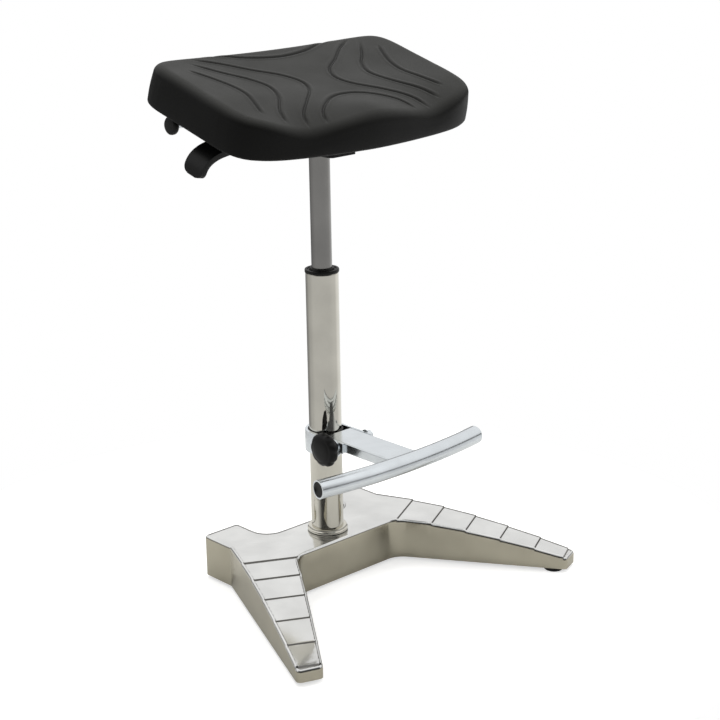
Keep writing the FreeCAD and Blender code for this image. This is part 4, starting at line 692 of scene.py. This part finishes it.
deselect_all()
bpy.ops.mesh.primitive_circle_add(vertices=len(plan), radius=0.2, fill_type="NGON")
base = bpy.context.object
base.name = "base_body"
for vert, spot in zip(base.data.vertices, plan):
    vert.co = Vector((spot.x * MM, spot.y * MM + COLUMN_Y, BASE_GAP * MM))
bpy.ops.object.mode_set(mode="EDIT")
bpy.ops.mesh.select_mode(type="FACE")
bpy.ops.mesh.select_all(action="SELECT")
bpy.ops.mesh.normals_make_consistent(inside=False)
bpy.ops.mesh.extrude_region_move(TRANSFORM_OT_translate={"value": (0, 0, (BASE_TOP - BASE_GAP) * MM)})
bpy.ops.mesh.select_all(action="SELECT")
bpy.ops.mesh.normals_make_consistent(inside=False)
select_faces(base, lambda middle, normal: normal.z > 0.9)
for (here, _), (there, _) in zip(RIM, RIM[1:]):
    bpy.ops.mesh.inset(thickness=(there - here) * MM, use_even_offset=True)
select_faces(base, lambda middle, normal: normal.z < -0.9)
bpy.ops.mesh.inset(thickness=BASE_WALL * MM, use_even_offset=True)
bpy.ops.mesh.extrude_region_move(TRANSFORM_OT_translate={"value": (0, 0, (BASE_CEILING - BASE_GAP) * MM)})
print("base plate", len(bmesh.from_edit_mesh(base.data).faces), "faces")

# %% Base: cuts across the legs
select_faces(base, lambda middle, normal: abs(normal.z) > 0.9)
bpy.ops.mesh.quads_convert_to_tris(quad_method="BEAUTY", ngon_method="BEAUTY")
for side in (1, -1):
    for at, _ in TREADS[1:-1]:
        spot = LEG_TIP + LEG_IN * at
        bpy.ops.mesh.select_all(action="SELECT")
        bpy.ops.mesh.bisect(
            plane_co=(side * spot.x * MM, spot.y * MM + COLUMN_Y, 0), plane_no=(side * LEG_IN.x, LEG_IN.y, 0))
bpy.ops.object.mode_set(mode="OBJECT")
places = np.array([vert.co for vert in base.data.vertices]) / MM
places[:, 1] -= COLUMN_Y / MM
edge_line = np.array([tuple(spot) for spot in plan + plan[:1]])
inset, _ = distance_to(places[:, :2], edge_line)
tread = np.interp(along_leg(places[:, 0], places[:, 1]), *zip(*TREADS))
top_side = places[:, 2] > BASE_TOP - 1
ceiling = np.abs(places[:, 2] - BASE_CEILING) < 1
places[top_side, 2] = tread[top_side] + np.interp(inset[top_side], *zip(*RIM))
places[ceiling, 2] = tread[ceiling] - (BASE_TOP - BASE_CEILING)
places[:, 1] += COLUMN_Y / MM
base.data.vertices.foreach_set("co", (places * MM).ravel())
base.data.update()
print("base cut into", len(base.data.polygons), "faces")

# %% Base: socket and glide bosses
def boolean(piece, kind, radius, low, high, x=0.0, y=0.0):
    """Adds or drills an upright cylinder, given in millimetres about the column."""
    deselect_all()
    bpy.ops.mesh.primitive_cylinder_add(
        vertices=96, radius=radius * MM, depth=(high - low) * MM,
        location=(x * MM, y * MM + COLUMN_Y, (low + high) / 2 * MM))
    tool = bpy.context.object
    deselect_all()
    piece.select_set(True)
    bpy.context.view_layer.objects.active = piece
    step = piece.modifiers.new("boolean", "BOOLEAN")
    step.operation = kind
    step.solver = "EXACT"
    step.object = tool
    bpy.ops.object.modifier_apply(modifier=step.name)
    bpy.data.objects.remove(tool)


HUB_RADIUS, BOSS_RADIUS, SOCKET_RADIUS = 32.0, 9.0, 22.53
HUB_TOP, TIP_BOSS_TOP = 58.0, 19.0
boolean(base, "UNION", HUB_RADIUS, BASE_GAP, HUB_TOP)
for x, y, boss_top in (
        (229, -222, TIP_BOSS_TOP), (-229, -222, TIP_BOSS_TOP), (111, 80, HUB_TOP), (-111, 80, HUB_TOP)):
    boolean(base, "UNION", BOSS_RADIUS, BASE_GAP, boss_top, x, y)
boolean(base, "DIFFERENCE", SOCKET_RADIUS, -1.0, 80.0)
print("hub, bosses and socket made")

# %% Base: finishes of its faces, with painted shade on its walls and creases
POLISHED, SIDE, INSIDE, CREASE = range(4)
CREASE_FROM, CREASE_TO, RIM_WIDE = 3.55, 4.3, 3
for name in ("polished_casting", "casting_side_shade", "casting_inside", "casting_crease_shade"):
    base.data.materials.append(finishes[name])
risers = [(low[0], high[0]) for low, high in zip(TREADS[1:], TREADS[2:]) if high[0] - low[0] < 2]
middles = np.array([(face.center.x, face.center.y - COLUMN_Y) for face in base.data.polygons]) / MM
gaps_in, _ = distance_to(middles, edge_line)
for face, (x, y), gap_in in zip(base.data.polygons, middles, gaps_in):
    inside = face.normal.z < -0.5 or gap_in > BASE_WALL - 0.5 and face.normal.z < 0.5
    at = along_leg(x, y)
    # Painted shade: the groove ring of the rim and the faces at the treads' risers get the near-black copy.
    crease = CREASE_FROM < gap_in < CREASE_TO
    crease = crease or gap_in > RIM_WIDE and any(low < at < high for low, high in risers)
    face.material_index = POLISHED
    if inside:
        face.material_index = INSIDE
    elif crease and face.normal.z > 0.1:
        face.material_index = CREASE
    # Painted shade: faces that stand upright get the darker copy of the polished metal.
    elif abs(face.normal.z) < 0.30:
        face.material_index = SIDE
bpy.ops.object.shade_smooth_by_angle(angle=math.radians(32))
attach(base, "base")
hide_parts("base_casting")
base_top = max(vert.co.z for vert in base.data.vertices) / MM
print("base", len(base.data.polygons), "faces, top at", round(base_top, 1), "mm")

# %% [markdown]
# Turned pieces, such as tubes, rings and knobs, start as a half profile.
# Spinning it round the axis is what a lathe does, and it gives a rounder piece than the frame has.

# %% Turned pieces
def turned(
        name, profile, finish_name, body_name, replaces, at=(0, 0, 0), along=(0, 0, 1), steps=96):
    """Spins (radius, height) pairs in millimetres about an axis through a place in metres."""
    mesh = bpy.data.meshes.new(name)
    points = [(radius * MM, 0, height * MM) for radius, height in profile]
    mesh.from_pydata(points, [(i, i + 1) for i in range(len(points) - 1)], [])
    piece = bpy.data.objects.new(name, mesh)
    scene.collection.objects.link(piece)
    deselect_all()
    piece.select_set(True)
    bpy.context.view_layer.objects.active = piece
    bpy.ops.object.mode_set(mode="EDIT")
    bpy.ops.mesh.select_all(action="SELECT")
    bpy.ops.mesh.spin(steps=steps, angle=2 * math.pi, center=(0, 0, 0), axis=(0, 0, 1))
    bpy.ops.mesh.select_all(action="SELECT")
    bpy.ops.mesh.remove_doubles(threshold=0.00002)
    bpy.ops.mesh.normals_make_consistent(inside=False)
    bpy.ops.object.mode_set(mode="OBJECT")
    bpy.ops.object.shade_smooth_by_angle(angle=math.radians(40))
    turn_to = Vector((0, 0, 1)).rotation_difference(Vector(along)).to_matrix().to_4x4()
    mesh.transform(Matrix.Translation(Vector(at)) @ turn_to)
    mesh.materials.append(finishes[finish_name])
    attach(piece, body_name)
    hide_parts(*replaces)
    return piece


column_foot = (0, COLUMN_Y, 0)
turned(
    "column_tube",
    [(20.5, 8), (22.2, 8), (22.5, 8.4), (22.5, 9.4), (22.5, 435.4), (22.5, 436.4), (22.1, 437),
     (20.5, 437), (20.5, 8)],
    "mirror_steel", "base", ["outer_column"], column_foot)
turned(
    "column_foot_ring",
    [(22.55, 64), (27.6, 64), (28.2, 64.6), (28.4, 66.0), (28.1, 67.2), (27.0, 67.8), (26.6, 68.2),
     (27.0, 68.8), (27.1, 69.8), (26.6, 70.7), (25.6, 71), (22.55, 71), (22.55, 64)],
    "mirror_steel", "base", ["column_collar"], column_foot)
turned(
    "spring_tube",
    [(12, 200), (14, 200), (14, 201), (14, 590), (14, 600), (13.97, 601), (13.23, 629), (13.2, 630),
     (2.6, 630), (2.6, 626.5), (11.2, 626.5), (11.2, 600), (12, 596), (12, 200)],
    "satin_steel", "carrier", ["gas_cylinder"], column_foot)
print("column, foot ring and spring tube turned")

# %% Bush, knob and grip
turned(
    "bush_cap",
    [(20.4, 400), (20.4, 437), (22.9, 437), (23.3, 437.4), (23.4, 438.2), (23.4, 440.6), (23.0, 441.4),
     (22.2, 441.7), (20.4, 441.7), (19.8, 441.3), (19.6, 440.4), (17.2, 440.4), (16.9, 441), (16.6, 443.2),
     (16.2, 443.6), (14.1, 443.6), (14.1, 400), (20.4, 400)],
    "black_plastic", "base", ["guide_bush"], column_foot)
AXLE = (0, COLUMN_Y + 64 * MM, 651.5 * MM)
knob_profile = [
    (5.03, 0), (9.6, 0), (10.9, 0.5), (11.6, 1.6), (11.9, 3.0), (11.9, 5.6), (11.5, 7.0), (10.4, 8.1),
    (8.6, 8.6), (0, 8.6), (0, 6.0), (5.03, 6.0), (5.03, 0)]
KNOB_FACE = -187 * MM
turned(
    "tilt_knob_disc", knob_profile, "black_plastic", "tilt_clamp", ["tilt_knob"],
    (KNOB_FACE, AXLE[1], AXLE[2]), (-1, 0, 0))
low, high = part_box("clamp_grip")
grip_profile = [
    (4.03, 0), (9.4, 0), (10, 0.8), (10.4, 3.5), (11.8, 6.4), (15, 8.6), (19.6, 10.4), (22.6, 12.4),
    (23.6, 14.6), (23.8, 17.0), (23.2, 19.6), (21.6, 21.9), (19.2, 23.4), (17.6, 23.9), (16.6, 23.8),
    (15.6, 24.4), (12, 25.4), (6, 25.9), (0, 26), (0, 20), (4.03, 20), (4.03, 0)]
middle_y, middle_z = (low.y + high.y) / 2, (low.z + high.z) / 2
grip = turned(
    "grip_head", grip_profile, "black_plastic", "footrest_clamp", ["clamp_grip"],
    (high.x, middle_y, middle_z), (-1, 0, 0), steps=144)
FLUTES, FLUTE_DEPTH, FLUTE_START = 9, 0.05, 17.5
for vert in grip.data.vertices:
    out_y, out_z = vert.co.y - middle_y, vert.co.z - middle_z
    reach = math.hypot(out_y, out_z)
    if reach > FLUTE_START * MM:
        full = min(1, (reach / MM - FLUTE_START) / 5)
        wave = (0.5 - 0.5 * math.cos(FLUTES * math.atan2(out_z, out_y))) ** 2
        scallop = 1 - FLUTE_DEPTH * full * wave
        vert.co.y = middle_y + out_y * scallop
        vert.co.z = middle_z + out_z * scallop
print("bush, knob and grip turned")

# %% [markdown]
# The footrest bar is a tube bent in one wide arc.
# A ring of points at one end is spun about the middle of that arc, and the wall comes from Solidify.

# %% Footrest bar
HALF_BAR, BAR_SAG, BAR_FRONT, BAR_HEIGHT = 145, 12, -147, 203.6
BAR_BOW = (HALF_BAR ** 2 + BAR_SAG ** 2) / (2 * BAR_SAG)
bow_middle = Vector((0, COLUMN_Y + (BAR_FRONT - BAR_SAG + BAR_BOW) * MM, BAR_HEIGHT * MM))
spread = math.asin(HALF_BAR / BAR_BOW)
BAR_RADIUS, BAR_WALL = 12.5, 2
deselect_all()
bpy.ops.mesh.primitive_circle_add(
    vertices=64, radius=BAR_RADIUS * MM,
    location=bow_middle + Vector((math.sin(spread), -math.cos(spread), 0)) * BAR_BOW * MM,
    rotation=(0, math.pi / 2, spread))
bar = bpy.context.object
bar.name = "bar_tube"
bpy.ops.object.transform_apply(location=True, rotation=True, scale=True)
bpy.ops.object.mode_set(mode="EDIT")
bpy.ops.mesh.select_all(action="SELECT")
bpy.ops.mesh.spin(steps=48, angle=2 * spread, center=bow_middle, axis=(0, 0, 1))
bpy.ops.mesh.select_all(action="SELECT")
bpy.ops.mesh.remove_doubles(threshold=0.00001)
bpy.ops.mesh.normals_make_consistent(inside=False)
bpy.ops.object.mode_set(mode="OBJECT")
reach = [abs(vert.co.x) for vert in bar.data.vertices]
wall = bar.modifiers.new("wall", "SOLIDIFY")
wall.thickness = BAR_WALL * MM
wall.offset = -1
bpy.ops.object.modifier_apply(modifier=wall.name)
bpy.ops.object.shade_smooth_by_angle(angle=math.radians(40))
bar.data.materials.append(finishes["zinc_plate"])
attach(bar, "footrest")
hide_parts("footrest_bar")
print("bar", round(2 * max(reach) / MM), "mm long,", len(bar.data.polygons), "faces")

# %% [markdown]
# The paddle at the end of the height lever is a moulded spoon.
# A grid is laid along a bent line, its end corners are drawn in, and Solidify and Bevel give it its body.

# %% Lever paddle
PADDLE_LINE = [
    (-110, -9), (-137, -11), (-161, -13.5), (-178, -17.5), (-189.5, -24), (-196, -33), (-199, -46.5),
]
HALF_PADDLE, END_ROUND, PADDLE_THICK, PADDLE_EDGE = 17.5, 10, 8.5, 2.6
LEVER_HEIGHT = 640.3
deselect_all()
bpy.ops.mesh.primitive_grid_add(x_subdivisions=56, y_subdivisions=28, size=2)
paddle = bpy.context.object
paddle.name = "paddle_body"
route = smooth_line(PADDLE_LINE, 12)
lengths = np.concatenate([[0], np.cumsum(np.linalg.norm(np.diff(route, axis=0), axis=1))])
for vert in paddle.data.vertices:
    at = (vert.co.x + 1) / 2 * lengths[-1]
    from_end = lengths[-1] - at
    half_wide = HALF_PADDLE
    if from_end < END_ROUND:
        half_wide -= END_ROUND - math.sqrt(max(0, END_ROUND ** 2 - (END_ROUND - from_end) ** 2))
    vert.co = Vector((
        np.interp(at, lengths, route[:, 0]), vert.co.y * half_wide, np.interp(at, lengths, route[:, 1]))) * MM
paddle.data.update()
body_of_paddle = paddle.modifiers.new("thickness", "SOLIDIFY")
body_of_paddle.thickness = PADDLE_THICK * MM
body_of_paddle.offset = 0
soft = paddle.modifiers.new("soft_edge", "BEVEL")
soft.width = PADDLE_EDGE * MM
soft.segments = 4
soft.limit_method = "ANGLE"
soft.angle_limit = math.radians(50)
for step in ("thickness", "soft_edge"):
    bpy.ops.object.modifier_apply(modifier=step)
bpy.ops.object.shade_smooth_by_angle(angle=math.radians(45))
paddle.data.transform(
    Matrix.Translation(Vector((0, COLUMN_Y, LEVER_HEIGHT * MM))) @ Matrix.Rotation(SEAT_TILT, 4, "X"))
paddle.data.materials.append(finishes["black_plastic"])
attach(paddle, "lever")
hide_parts("lever_paddle")
print("paddle", len(paddle.data.polygons), "faces")

# %% Sizes for the record
visual_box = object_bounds()
for name, box in (("cad", cad_box), ("visual", visual_box)):
    print(name, [round(value, 3) for corner in box for value in corner])
